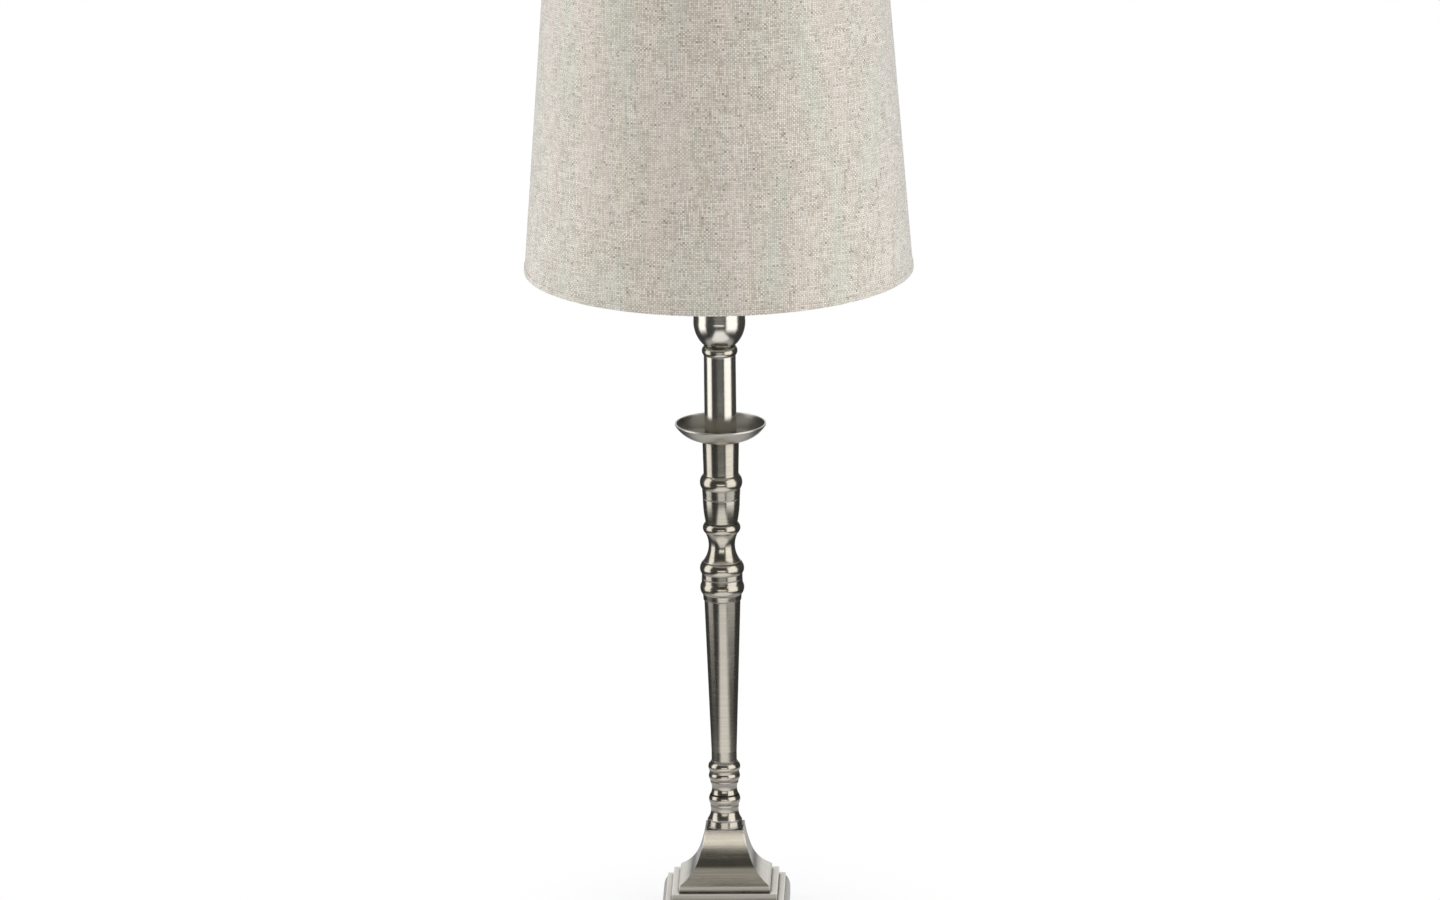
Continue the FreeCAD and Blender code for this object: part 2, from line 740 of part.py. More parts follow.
piece(turned("double_bead", "double_seat", [
    ("rod_hole", "0"), ("knop_neck_radius", "0"),
    ("knop_neck_radius", "double_fillet", "double_low_swell"),
    ("double_band_radius", "double_band_foot"),
    ("double_band_radius", "double_high_foot", "double_high_swell"),
    ("double_top_radius", "double_shoulder"),
    ("double_top_radius", "double_shoulder + double_crown"),
    ("rod_hole", "double_shoulder + double_crown")]))

piece(turned("tapered_column", "column_seat", [
    ("rod_hole", "0"), ("column_foot_radius", "0"), ("column_foot_radius", "column_straight"),
    ("column_top_radius", "column_height"), ("rod_hole", "column_height"),
    ("rod_hole", "column_height - column_land"),
    ("column_top_radius - column_wall", "column_height - 2 * column_land"),
    ("column_foot_radius - column_wall", "2 * column_land"), ("rod_hole", "column_land")]))

piece(turned("lower_collar", "collar_seat", [
    ("rod_hole", "0"), ("collar_foot_radius", "0"),
    ("collar_fillet_radius", "collar_fillet", "collar_swell"),
    ("collar_bead_top_radius", "collar_band_foot"),
    ("collar_band_radius", "collar_height"), ("rod_hole", "collar_height")]))

piece(turned("upper_collar", "upper_collar_seat", [
    ("rod_hole", "0"), ("collar_band_radius", "0"),
    ("collar_band_radius", "upper_band", "upper_swell"),
    ("upper_top_radius", "upper_collar_height"), ("rod_hole", "upper_collar_height")]))

piece(turned("waisted_baluster", "waist_seat", [
    ("rod_hole", "0"), ("upper_top_radius", "0", "-waist_low_hollow"),
    ("waist_radius", "waist_low", "-waist_high_hollow"),
    ("waist_top_radius", "waist_bead_foot", "waist_swell"),
    ("waist_top_radius", "waist_height"), ("rod_hole", "waist_height")]))

piece(turned("vase_section", "vase_seat", [
    ("rod_hole", "0"), ("vase_foot_radius", "0", "vase_swell"),
    ("vase_top_radius", "vase_rise"), ("rod_hole", "vase_rise")]))

piece(turned("candle_socket", "socket_seat", [
    ("rod_hole", "0"), ("vase_top_radius", "0"),
    ("socket_band_radius", "socket_band", "socket_swell"),
    ("socket_bead_top_radius", "socket_bead_top"),
    ("socket_foot_radius", "socket_wall_foot"),
    ("socket_top_radius", "socket_height"),
    ("socket_top_radius - socket_wall", "socket_height"),
    ("socket_foot_radius - socket_wall", "socket_floor"), ("rod_hole", "socket_floor")]))

spigot_radius = "tube_bore - spigot_gap"
piece(turned("drip_pan", "pan_seat", [
    ("rod_hole", "0"), ("pan_foot_radius", "0", "pan_swell"),
    ("pan_rim_radius", "pan_rim_height - pan_lip"),
    ("pan_rim_radius", "pan_rim_height"),
    ("pan_rim_radius - pan_lip_width", "pan_rim_height", "-pan_swell"),
    ("pan_inner_radius", "pan_floor"),
    (spigot_radius, "pan_floor"), (spigot_radius, "pan_floor + spigot_height"),
    ("rod_hole", "pan_floor + spigot_height")]))

piece(bored("candle_tube", cylinder("tube_blank", "tube_radius", "tube_height", z="tube_seat"),
            "tube_bore", "tube_height", "tube_seat"))

bead_top = "tube_bead + tube_bead_crown"
piece(turned("tube_bead_ring", "tube_bead_seat", [
    ("rod_hole", "-spigot_height"), (spigot_radius, "-spigot_height"), (spigot_radius, "0"),
    ("tube_bead_foot_radius", "0", "tube_bead_swell"),
    ("tube_bead_top_radius", "tube_bead"), ("cup_foot_radius", bead_top), ("rod_hole", bead_top)]))

# ---- lampholder cup and lampholder ----
piece(turned("holder_cup", "cup_seat", [
    ("rod_hole", "0"), ("cup_foot_radius", "0", "cup_swell"),
    ("cup_radius", "cup_bowl"), ("cup_radius", "cup_height"), ("cup_radius - cup_wall", "cup_height"),
    ("cup_radius - cup_wall", "cup_bowl", "-cup_swell"),
    ("cup_foot_radius - cup_wall", "cup_floor"), ("rod_hole", "cup_floor")]))
piece(washer("cup_washer", "washer_radius", "washer_thickness", "cup_washer_seat"))
piece(hex_nut("cup_nut", "cup_nut_seat"))

base_inside = "holder_base_radius - holder_base_wall"
ledge = "holder_base_height - carrier_drop"
piece(turned("holder_base", "holder_seat", [
    ("rod_radius + fit_gap", "0"), ("holder_foot_radius", "0"), ("holder_base_radius", "holder_foot_rise"),
    ("holder_base_radius", "holder_base_height"), (base_inside, "holder_base_height"),
    (base_inside, ledge), (f"{base_inside} - holder_base_wall", ledge),
    (f"{base_inside} - holder_base_wall", "holder_foot_rise"),
    ("holder_foot_radius - holder_base_wall", "holder_base_floor"),
    ("holder_hub_radius", "holder_base_floor"), ("holder_hub_radius", "holder_hub_height"),
    ("rod_radius + fit_gap", "holder_hub_height")]))

piece(bored("contact_carrier",
            cylinder("carrier_disc", "carrier_radius", "carrier_height", z="carrier_seat"),
            "rivet_radius + fit_gap", "carrier_height", "carrier_seat"))
piece(fuse("centre_contact",
           cylinder("contact_head", "centre_contact_radius", "centre_contact_height", z="carrier_top"),
           cylinder("contact_rivet", "rivet_radius", "carrier_height", z="carrier_seat")))
tongue_outside = "(shell_radius - shell_wall)"
piece(box("side_contact", "tongue_thickness", "tongue_width", "shell_start",
          x=f"{tongue_outside} - tongue_thickness / 2", z="carrier_top"))
piece(group("contact_screws", [
    cylinder(f"contact_screw_{number}", "contact_screw_radius", "contact_screw_height",
             x=f"{side} * contact_screw_offset", z="carrier_seat - contact_screw_height")
    for number, side in enumerate((-1, 1), 1)]))

piece(turned("screw_shell", "shell_seat", [
    ("shell_floor_radius", "0"), ("shell_radius", "0"), ("shell_radius", "shell_height"),
    ("shell_radius - shell_wall", "shell_height"), ("shell_radius - shell_wall", "shell_wall"),
    ("shell_floor_radius", "shell_wall")]))

skirt_inside = "skirt_radius - skirt_wall"
piece(turned("holder_skirt", "skirt_seat", [
    (skirt_inside, "0"), ("holder_base_radius", "0"), ("holder_base_radius", "skirt_collar"),
    ("holder_flange_radius", "skirt_collar"), ("holder_flange_radius", "skirt_thread_foot"),
    ("skirt_radius", "skirt_thread_foot"), ("skirt_radius", "skirt_top"),
    ("skirt_mouth_radius", "skirt_top"), ("skirt_mouth_radius", "skirt_top - skirt_lip"),
    (skirt_inside, "skirt_top - skirt_lip")]))


# ---- shade rings ----
NOTCHES = 12


def shade_ring(name, seat, flange_first):
    """Threaded ring with a notched flange, which faces the fitter ring."""
    hub_bottom, hub_top = ("ring_flange", "ring_hub_height + ring_flange") if flange_first \
        else ("0", "ring_hub_height")
    flange_bottom = "0" if flange_first else "ring_hub_height"
    blank = fuse(name + "_blank",
                 cylinder(name + "_hub", "ring_hub_radius", "ring_hub_height", z=f"{seat} + {hub_bottom}"),
                 cylinder(name + "_flange", "ring_flange_radius", "ring_flange", z=f"{seat} + {flange_bottom}"))
    notches = [cylinder(f"{name}_notch_{number}", "ring_notch_radius", "ring_flange",
                        x=f"ring_flange_radius * cos({360 / NOTCHES * number})",
                        y=f"ring_flange_radius * sin({360 / NOTCHES * number})",
                        z=f"{seat} + {flange_bottom}") for number in range(NOTCHES)]
    bore = cylinder(name + "_bore", "skirt_radius + ring_thread_gap", "ring_hub_height + ring_flange", z=seat)
    return cut(name, blank, bore, *notches)


piece(shade_ring("lower_shade_ring", "lower_ring_top - ring_hub_height - ring_flange", False))
piece(shade_ring("upper_shade_ring", "upper_ring_seat", True))


# ---- shade ----
piece(turned("shade_fabric", "shade_bottom", [
    ("liner_bottom", "0"), ("shade_bottom_radius", "0"),
    ("shade_top_radius", "shade_height"), ("liner_top", "shade_height")]))
piece(turned("shade_liner", "shade_bottom", [
    ("liner_bottom - liner_thickness", "0"), ("liner_bottom", "0"),
    ("liner_top", "shade_height"), ("liner_top - liner_thickness", "shade_height")]))
piece(ring_wire("bottom_wire", "bottom_wire_ring", "wire_radius", "shade_bottom + wire_rise"))
piece(ring_wire("top_wire", "top_wire_ring", "wire_radius", "shade_bottom + shade_height - wire_rise"))

lean = "shade_slope * hem_height"
bottom_lip = "bottom_wire_ring - wire_radius - spigot_gap"
piece(turned("bottom_hem", "shade_bottom", [
    (f"{bottom_lip} - hem_thickness", "-hem_thickness"),
    ("shade_bottom_radius + hem_thickness", "-hem_thickness"),
    (f"shade_bottom_radius + hem_thickness - {lean}", "hem_height"),
    (f"shade_bottom_radius - {lean}", "hem_height"), ("shade_bottom_radius", "0"),
    (bottom_lip, "0"), (bottom_lip, "wire_rise"), (f"{bottom_lip} - hem_thickness", "wire_rise")]))
top_lip = "top_wire_ring - wire_radius - spigot_gap"
lip_foot = "shade_height - 2 * wire_rise"
hem_top = "shade_height + hem_thickness"
piece(turned("top_hem", "shade_bottom", [
    (f"{top_lip} - hem_thickness", lip_foot), (top_lip, lip_foot), (top_lip, "shade_height"),
    ("shade_top_radius", "shade_height"), (f"shade_top_radius + {lean}", "shade_height - hem_height"),
    (f"shade_top_radius + hem_thickness + {lean}", "shade_height - hem_height"),
    ("shade_top_radius + hem_thickness", hem_top), (f"{top_lip} - hem_thickness", hem_top)]))

ARMS = 3


def shade_spider():
    """Flat ring for the lampholder, and three welded arms that run out and down to the bottom wire."""
    up = FreeCAD.Vector(0, 0, 1)
    outer, inner = size("fitter_radius"), size("fitter_hole_radius")
    thick, low = size("fitter_thickness"), size("fitter_height")
    ring = Part.makeCylinder(outer, thick).cut(Part.makeCylinder(inner, thick))
    ring.translate(up * low)
    for number in range(ARMS):
        turn = 2 * math.pi * number / ARMS
        out = FreeCAD.Vector(math.sin(turn), math.cos(turn), 0)
        start = out * (outer - size("arm_radius")) + up * (low + thick / 2)
        rest_height = size("wire_rise + wire_radius + arm_radius")
        end = out * size("bottom_wire_ring") + up * rest_height
        arm = Part.makeCylinder(size("arm_radius"), (end - start).Length, start, end - start)
        ring = ring.fuse(arm)
    ring = ring.cut(Part.makeCylinder(inner, 4 * thick, up * (low - thick)))
    thing = doc.addObject("Part::Feature", "shade_spider")
    thing.Shape = ring.removeSplitter()
    return place(thing, z="shade_bottom")


piece(shade_spider())

# ---- bulb ----
piece(cylinder("bulb_contact", "bulb_contact_radius", "bulb_contact_height", z="bulb_seat"))
piece(cone("bulb_insulator", "bulb_contact_radius", "insulator_top_radius", "insulator_height",
           z="insulator_seat"))
piece(turned("bulb_cap", "cap_seat", [
    ("insulator_top_radius - cap_wall", "0"), ("insulator_top_radius", "0"),
    ("cap_radius", "cap_taper"), ("cap_radius", "cap_height"), ("cap_radius - cap_wall", "cap_height"),
    ("cap_radius - cap_wall", "cap_taper"), ("insulator_top_radius - cap_wall", "cap_wall")]))


def glass_bulb():
    """Pear-shaped envelope: neck in the cap, hollow shoulder, then a ball closed over the top."""
    drop = "(glass_centre - glass_join)"

    def ball(radius):
        # Swell of the arc from the join up to the pole, from its half angle.
        half = f"(acos(-{drop} / glass_radius) / 2)"
        return f"({radius}) * (1 - cos({half}))"

    inner = "(glass_radius - glass_wall)"
    share = f"({inner} / glass_radius)"
    shoulder = "glass_neck_depth + glass_shoulder_rise"
    return turned("bulb_glass", "glass_seat", [
        ("glass_neck_radius - glass_wall", "0"), ("glass_neck_radius", "0"),
        ("glass_neck_radius", "glass_neck_depth"),
        ("glass_shoulder_radius", shoulder, "-glass_hollow"),
        ("glass_join_radius", "glass_join", ball("glass_radius")),
        ("0", "glass_centre + glass_radius"), ("0", f"glass_centre + {inner}", f"-{ball(inner)}"),
        (f"glass_join_radius * {share}", f"glass_centre - {drop} * {share}", "glass_hollow"),
        ("glass_shoulder_radius - glass_wall", shoulder),
        ("glass_neck_radius - glass_wall", "glass_neck_depth")])


piece(glass_bulb())
stem_foot_radius = "glass_neck_radius - glass_wall - contact_gap"
piece(turned("bulb_stem", "stem_seat", [
    ("0", "0"), (stem_foot_radius, "0"), (stem_foot_radius, "stem_foot"),
    ("stem_radius", "stem_foot + stem_flare"), ("stem_radius", "stem_height"), ("0", "stem_height")]))

QUARTERS = (0, 90, 180, 270)


def filaments():
    """Four sloping filament rods between two wire crosses on the stem."""
    low, high = size("frame_low"), size("frame_high")
    near, far = size("frame_low_radius"), size("frame_high_radius")
    wire, rod, gap = size("frame_wire_radius"), size("filament_radius"), size("filament_gap")
    frame = Part.makeCylinder(wire, high - low + 2 * wire, FreeCAD.Vector(0, 0, low - wire))
    rods = []
    for turn in QUARTERS:
        out = FreeCAD.Vector(math.cos(math.radians(turn)), math.sin(math.radians(turn)), 0)
        foot, head = out * near + FreeCAD.Vector(0, 0, low), out * far + FreeCAD.Vector(0, 0, high)
        for reach, level in ((near, low), (far, high)):
            frame = frame.fuse(Part.makeCylinder(wire, reach, FreeCAD.Vector(0, 0, level), out))
        way = (head - foot).normalize()
        rods.append(Part.makeCylinder(rod, (head - foot).Length - 2 * gap, foot + way * gap, way))
    cross = doc.addObject("Part::Feature", "filament_frame")
    cross.Shape = frame
    lit = doc.addObject("Part::Feature", "filaments")
    lit.Shape = Part.makeCompound(rods)
    return cross, lit


for made in filaments():
    piece(made)


# ---- inner leads ----
BEND_SHARE = 0.45


def lead(name, route):
    """A round lead along straight runs, each corner rounded as far as its two runs allow."""
    points = [FreeCAD.Vector(*point) for point in route]
    edges, last, length = [], points[0], 0.0
    for before, corner, after in zip(points, points[1:], points[2:]):
        back, on = (before - corner).normalize(), (after - corner).normalize()
        half_turn = (math.pi - back.getAngle(on)) / 2
        reach = BEND_SHARE * min((before - corner).Length, (after - corner).Length)
        radius = reach / math.tan(half_turn)
        start, end = corner + back * reach, corner + on * reach
        way = (back + on).normalize()
        middle = corner + way * (radius / math.cos(half_turn) - radius)
        edges += [Part.LineSegment(last, start).toShape(), Part.Arc(start, middle, end).toShape()]
        last = end
        print(f"{name} bend radius {radius:.1f} mm")
    edges.append(Part.LineSegment(last, points[-1]).toShape())
    path = Part.Wire(edges)
    circle = Part.Circle(points[0], points[1] - points[0], size("lead_radius"))
    tube = path.makePipeShell([Part.Wire(circle.toShape())], True, False)
    volume = math.pi * size("lead_radius") ** 2 * path.Length
    print(f"{name} length {path.Length:.1f} mm, volume {tube.Volume / volume:.4f} of section times length")
    thing = doc.addObject("Part::Feature", name)
    thing.Shape = tube
    return thing


def leads():
    """Live and neutral from the terminal block through the rod to the lampholder; earth to its tag."""
    entry, bend = size("block_start + lead_entry"), size("block_start - lead_run")
    clamp = size("cover_top + pole_height")
    rod_end, rod_head = size("rod_bottom"), size("rod_top")
    screw = size("carrier_seat - contact_screw_height")
    offset = size("lead_offset")
    made = []
    for name, side in (("live_lead", -1), ("neutral_lead", 1)):
        outside, inside = side * size("pole_pitch"), side * offset
        top = side * size("contact_screw_offset")
        made.append(lead(name, [
            (outside, entry, clamp), (outside, bend, clamp), (inside, 0, (clamp + rod_end) / 2),
            (inside, 0, rod_head + size("lead_bend")), (top, 0, (rod_head + screw) / 2), (top, 0, screw)]))
    tail = -size("washer_radius") - size("lead_radius")
    made.append(lead("earth_lead", [
        (0, entry, clamp), (0, bend, clamp), (0, tail, (2 * clamp + rod_end) / 3),
        (0, tail, size("tag_top - tag_length / 2"))]))
    return made


for made in leads():
    piece(made)

# ---- checks and export ----
doc.recompute()
for thing in doc.Objects:
    if "Invalid" in thing.State or "Error" in thing.State:
        raise RuntimeError(f"{thing.Label} failed: {thing.State}")
for thing in pieces:
    if thing.Shape.isNull() or not thing.Shape.isValid() or not thing.Shape.Solids:
        raise RuntimeError(f"{thing.Label} has no valid solid")

os.makedirs("parts", exist_ok=True)
for thing in pieces:
    thing.Shape.exportStep(f"parts/{thing.Label}.step")
    print(f"{thing.Label}: {len(thing.Shape.Solids)} solid(s), {thing.Shape.Volume / 1000:.2f} cm3")
print(f"{len(pieces)} pieces")
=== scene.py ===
import json
import math

import bpy
from mathutils import Matrix, Vector


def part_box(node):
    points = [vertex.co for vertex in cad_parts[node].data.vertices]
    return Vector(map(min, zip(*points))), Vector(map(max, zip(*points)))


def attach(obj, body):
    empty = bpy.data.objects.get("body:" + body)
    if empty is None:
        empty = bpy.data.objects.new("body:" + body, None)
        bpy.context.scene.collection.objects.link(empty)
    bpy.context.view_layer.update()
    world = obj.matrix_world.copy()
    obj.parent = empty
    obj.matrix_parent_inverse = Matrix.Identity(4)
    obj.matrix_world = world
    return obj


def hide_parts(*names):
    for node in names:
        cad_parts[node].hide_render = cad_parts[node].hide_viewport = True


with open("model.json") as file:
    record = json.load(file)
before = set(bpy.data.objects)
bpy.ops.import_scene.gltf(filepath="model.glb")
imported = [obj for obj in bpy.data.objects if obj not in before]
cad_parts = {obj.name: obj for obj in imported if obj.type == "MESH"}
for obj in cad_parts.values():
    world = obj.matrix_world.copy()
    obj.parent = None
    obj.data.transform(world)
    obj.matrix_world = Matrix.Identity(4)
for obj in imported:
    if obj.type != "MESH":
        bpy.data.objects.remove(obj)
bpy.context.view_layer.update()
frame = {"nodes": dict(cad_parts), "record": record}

# The candlestick lamp: finishes, bevels, threads and a seam on the CAD pieces, the photograph's camera, and a
# white studio.
MM = 0.001

# Camera: one distant camera, because the photograph shows almost no perspective.
PHOTO_WIDTH = 1440           # pixels
SENSOR, LENS = 36.0, 750.0   # millimetres, as Blender counts them
CLIP_NEAR, CLIP_FAR = 1.0, 200.0
ELEVATION, AZIMUTH, ROLL = 14.5, 1.5, -0.64     # degrees
SCALE = 0.773 * MM          # metres per pixel of the photograph, on the lamp's axis
AIM_Z = 0.3698              # height on the axis that lies in the picture's middle
AIM_SHIFT = -0.6 * MM       # to the right

# The shade's cone, from the lowest edge of the linen.
SHADE_LOW, SHADE_RISE = 515.0 * MM, 270.0 * MM
SHADE_LOW_RADIUS, SHADE_HIGH_RADIUS = 150.0 * MM, 130.2 * MM
WARP_PITCH, WEFT_PITCH = 1.66 * MM, 1.55 * MM
THREAD_WANDER = 0.9          # how far a thread strays from its place, in pitches
LINEN_LIGHT, LINEN_DARK = (0.835, 0.757, 0.665), (0.485, 0.42, 0.345)
# The dark of the slubs, and the painted shade in the gaps between threads.
LINEN_SLUB, LINEN_GAP_SHADE = (0.20, 0.165, 0.13), (0.22, 0.19, 0.155)
LINEN_CLOUD, LINEN_PINK, LINEN_GREEN = (0.40, 0.36, 0.31), (0.72, 0.60, 0.54), (0.56, 0.60, 0.50)
WEAVE_DEPTH, LINEN_ROUGH = 0.3 * MM, 0.92
SHEEN_TINT = (0.94, 0.98, 1.0, 1.0)
SEAM_WIDTH, SEAM_THICKNESS, SEAM_INSET, SEAM_SINK = 12.0 * MM, 0.5 * MM, 8.0 * MM, 0.1 * MM
SEAM_COLUMNS, SEAM_ROWS = 6, 24

# Weave: noise scales per metre across and along the threads, and how much each colour is laid on.
WANDER_SCALE, DRIFT_SCALE = (55.0, 20.0, 1.0), (20.0, 55.0, 1.0)
THREAD_STEP = 5.37           # takes each thread to a spot of its own in the noise
TONE_SCALE, SLUB_SCALE, CLOUD_SCALE, TINT_SCALE = 70.0, 150.0, 30.0, (34.0, 7.0, 1.0)
WEFT_DARKER, GAP_SHADE_SHARE, CLOUD_SHARE, TINT_SHARE = 0.07, 0.55, 0.14, 0.22
WEAVE_BUMP, SLUB_HEIGHT = 0.7, 0.35

# Old nickel: how far the dark wax creeps out of a recess, how far painted shade with thin wax reaches out
# of a wide hollow, and how wide an edge is rubbed and lit with a painted highlight.
RECESS_REACH, HOLLOW_SHADE_REACH, EDGE_REACH = 2.8 * MM, 18.0 * MM, 1.6 * MM
JOINT_LINE = 0.85 * MM       # half the width of the dark line between two turned pieces
KNOP_LINE_RISE = 9.6 * MM    # of the turned line on the knop, over its foot
# Colours: thin wax with painted shade, thick wax in recesses, and a rubbed edge with a painted highlight.
SHADE_AND_THIN_WAX, WAX_THICK, RUBBED_AND_HIGHLIGHT = (0.14, 0.13, 0.105), (0.035, 0.030, 0.024), (0.80, 0.775, 0.735)
STREAK_SCALE, BAND_SCALE, STAIN_SCALE = (14.0, 14.0, 2600.0), (10.0, 10.0, 420.0), 60.0
# Shares: of the darker tone bands, of the painted shade in wide hollows, and of the painted edge highlight.
BAND_SHARE, BAND_DARKER, HOLLOW_SHADE_SHARE, RUBBED_HIGHLIGHT_SHARE = 0.22, 0.72, 0.6, 0.75
BRUSH_DEPTH = 0.02 * MM
WAX_ROUGHER = 0.25

BEVEL_SEGMENTS, BEVEL_FROM, SHARP_FROM = 2, 34, 40     # the last two in degrees

# Threads: the bulb's cap in the lampholder, and the shade rings on the lampholder's skirt.
CAP_PITCH, CAP_DEPTH, CAP_PLAIN = 3.629 * MM, 0.85 * MM, 5.5 * MM
CAP_WALL, CAP_TAPER = 0.4 * MM, 3.0 * MM
RING_PITCH, RING_DEPTH, COLLAR_GAP = 2.5 * MM, 0.8 * MM, 0.5 * MM
SKIRT_RADIUS, SKIRT_WALL, SKIRT_FLANGE = 19.5 * MM, 3.4 * MM, 3.6 * MM
SKIRT_MOUTH, SKIRT_LIP = 15.2 * MM, 4.0 * MM
TURN_STEPS, PITCH_STEPS = 96, 8      # facets round a sleeve, and up each pitch of its thread

# Studio. Azimuths are in degrees from the camera's side, positive to its right; levels are of light.
WARM_WHITE, SOFTBOX_WHITE = (1.0, 0.98, 0.94), (1.0, 0.98, 0.955)
CURTAIN_TINT, CEILING_TINT, LAMP_COLOUR = (1.0, 0.98, 0.90), (1.0, 0.98, 0.93), (0.90, 0.96, 1.0)
SOFT_LEVEL, CURTAIN_LEVEL, CEILING_LEVEL = 0.57, 0.075, 0.50
# Each softbox: its name, its azimuth, half the angle that it fills, and the level of its mirrored face.
SOFTBOXES = [("left_softbox", -82, 19, 1.6), ("right_softbox", 60, 27, 1.6)]
SOFTBOX_DISTANCE, SOFTBOX_TOP, SOFTBOX_POWER, SOFTBOX_AIM = 1.25, 1.5, 12.3, 0.45
FRONT_CARD = {"azimuth": 0, "spread": 22, "distance": 2.3, "low": 0.12, "high": 0.60, "level": 1.6}
CURTAIN_RADIUS, CURTAIN_TOP, CURTAIN_HALF, CURTAIN_STEPS = 2.6, 3.0, 158.0, 48
ONE_FACE = [(0, 1, 2, 3)]
FLOOR_HALF = 30.0
FLOOR_HEIGHT = -0.2 * MM     # a hair under the felt, so that the two faces do not share a plane
FLOOR_PAINT = (0.86, 0.86, 0.86, 1)
FLOOR_LEVEL, TABLE_LEVEL, NEAR_LEVEL, BEHIND_LEVEL = 0.06, 1.1, 0.50, 0.50
# Where the floor looks lit in metal, in metres from the lamp, each edge as its soft start and end.
TABLE_MIDDLE, TABLE_SIDE, TABLE_FRONT, TABLE_BACK = 0.04, (0.24, 0.36), (-1.15, -0.75), (-0.22, -0.02)
NEAR_EDGE, WEDGE_SLOPE, WEDGE_EDGE = (0.26, 0.46), 2.6, (0.0, 0.20)
POOL_START, POOL_SOFT = 0.55, 2     # the second in degrees
# How far off the lamp, and from which share to which, plain white covers the painted floor for the camera.
SHADOW_EDGE, SHADOW_CLEAR = (0.05, 0.20), (0.85, 1.0)

NODES = frame["nodes"]


# ---------------------------------------------------------------- helpers
def add_object(name, data):
    """Put a mesh or lamp into the scene."""
    thing = bpy.data.objects.new(name, data)
    bpy.context.scene.collection.objects.link(thing)
    return thing


def mesh_object(name, corners, faces, smooth=False):
    """A mesh from its corners and faces."""
    mesh = bpy.data.meshes.new(name)
    mesh.from_pydata([tuple(corner) for corner in corners], [], faces)
    mesh.validate()
    mesh.update()
    for face in mesh.polygons:
        face.use_smooth = smooth
    return add_object(name, mesh)


class Graph:
    """Writes a material's nodes with few words."""

    def __init__(self, name):
        self.material = bpy.data.materials.new(name)
        self.material.use_nodes = True
        self.tree = self.material.node_tree
        self.tree.nodes.clear()
        self.out = self.tree.nodes.new("ShaderNodeOutputMaterial")
        self._object = None

    def node(self, kind, **settings):
        """A new node with these settings."""
        made = self.tree.nodes.new(kind)
        for key, value in settings.items():
            setattr(made, key, value)
        return made

    def link(self, source, socket):
        self.tree.links.new(source, socket)

    def feed(self, value, socket):
        """Link a socket to it, or set it to a plain value."""
        if isinstance(value, bpy.types.NodeSocket):
            self.link(value, socket)
        else:
            socket.default_value = value

    def place(self):
        """Object coordinates, in metres: the lamp's own frame."""
        if self._object is None:
            self._object = self.node("ShaderNodeTexCoord").outputs["Object"]
        return self._object

    def split(self, vector):
        made = self.node("ShaderNodeSeparateXYZ")
        self.link(vector, made.inputs[0])
        return made.outputs[0], made.outputs[1], made.outputs[2]

    def join(self, x, y, z):
        made = self.node("ShaderNodeCombineXYZ")
        for value, socket in zip((x, y, z), made.inputs):
            self.feed(value, socket)
        return made.outputs[0]

    def math(self, operation, a, b=0.0, clamp=False):
        made = self.node("ShaderNodeMath", operation=operation, use_clamp=clamp)
        for value, socket in zip((a, b), made.inputs):
            self.feed(value, socket)
        return made.outputs[0]

    def rest(self, share):
        """What a share leaves of 1."""
        return self.math("SUBTRACT", 1.0, share)

    def stretch(self, vector, scale):
        made = self.node("ShaderNodeVectorMath", operation="MULTIPLY")
        self.link(vector, made.inputs[0])
        made.inputs[1].default_value = scale
        return made.outputs[0]

    def noise(self, vector, scale, detail=2.0, rough=0.5):
        made = self.node("ShaderNodeTexNoise")
        self.link(vector, made.inputs["Vector"])
        made.inputs["Scale"].default_value = scale
        made.inputs["Detail"].default_value = detail
        made.inputs["Roughness"].default_value = rough
        return made.outputs["Fac"]

    def ramp(self, value, low, high, to_low=0.0, to_high=1.0):
        """Go smoothly from to_low to to_high while the value goes from low to high."""
        made = self.node("ShaderNodeMapRange", interpolation_type="SMOOTHSTEP")
        for item, socket in zip((value, low, high, to_low, to_high), made.inputs):
            self.feed(item, socket)
        return made.outputs[0]

    def mix(self, share, a, b):
        """Colour a at share 0 and colour b at share 1."""
        made = self.node("ShaderNodeMix", data_type="RGBA")
        self.feed(share, made.inputs[0])
        for value, socket in ((a, made.inputs[6]), (b, made.inputs[7])):
            if isinstance(value, (tuple, list)):
                value = (*value[:3], 1.0)
            self.feed(value, socket)
        return made.outputs[2]

    def bump(self, height, distance, strength):
        made = self.node("ShaderNodeBump")
        self.link(height, made.inputs["Height"])
        made.inputs["Distance"].default_value = distance
        made.inputs["Strength"].default_value = strength
        return made.outputs["Normal"]

    def glow(self, level, tint=(1.0, 1.0, 1.0)):
        """Light of one colour, with its level a number or a socket."""
        made = self.node("ShaderNodeEmission")
        made.inputs["Color"].default_value = (*tint, 1)
        self.feed(level, made.inputs["Strength"])
        return made.outputs[0]

    def blend(self, share, first, second):
        """One shader at share 0 and the other at share 1."""
        made = self.node("ShaderNodeMixShader")
        for source, socket in zip((share, first, second), made.inputs):
            self.link(source, socket)
        return made.outputs[0]

    def surface(self, colour, roughness, metallic=0.0, normal=None, **constants):
        """The principled surface, with other constants given by their names."""
        made = self.node("ShaderNodeBsdfPrincipled")
        if isinstance(colour, (tuple, list)):
            colour = (*colour[:3], 1.0)
        self.feed(colour, made.inputs["Base Color"])
        self.feed(roughness, made.inputs["Roughness"])
        made.inputs["Metallic"].default_value = metallic
        if normal is not None:
            self.link(normal, made.inputs["Normal"])
        for key, value in constants.items():
            made.inputs[key.replace("_", " ")].default_value = value
        self.link(made.outputs[0], self.out.inputs["Surface"])
        return self.material


def occlusion(g, distance, inside=False):
    """How open a spot is: 1 in the open, towards 0 in a recess or, inside, at a sharp edge."""
    made = g.node("ShaderNodeAmbientOcclusion", samples=6, inside=inside)
    made.inputs["Distance"].default_value = distance
    return made.outputs["AO"]


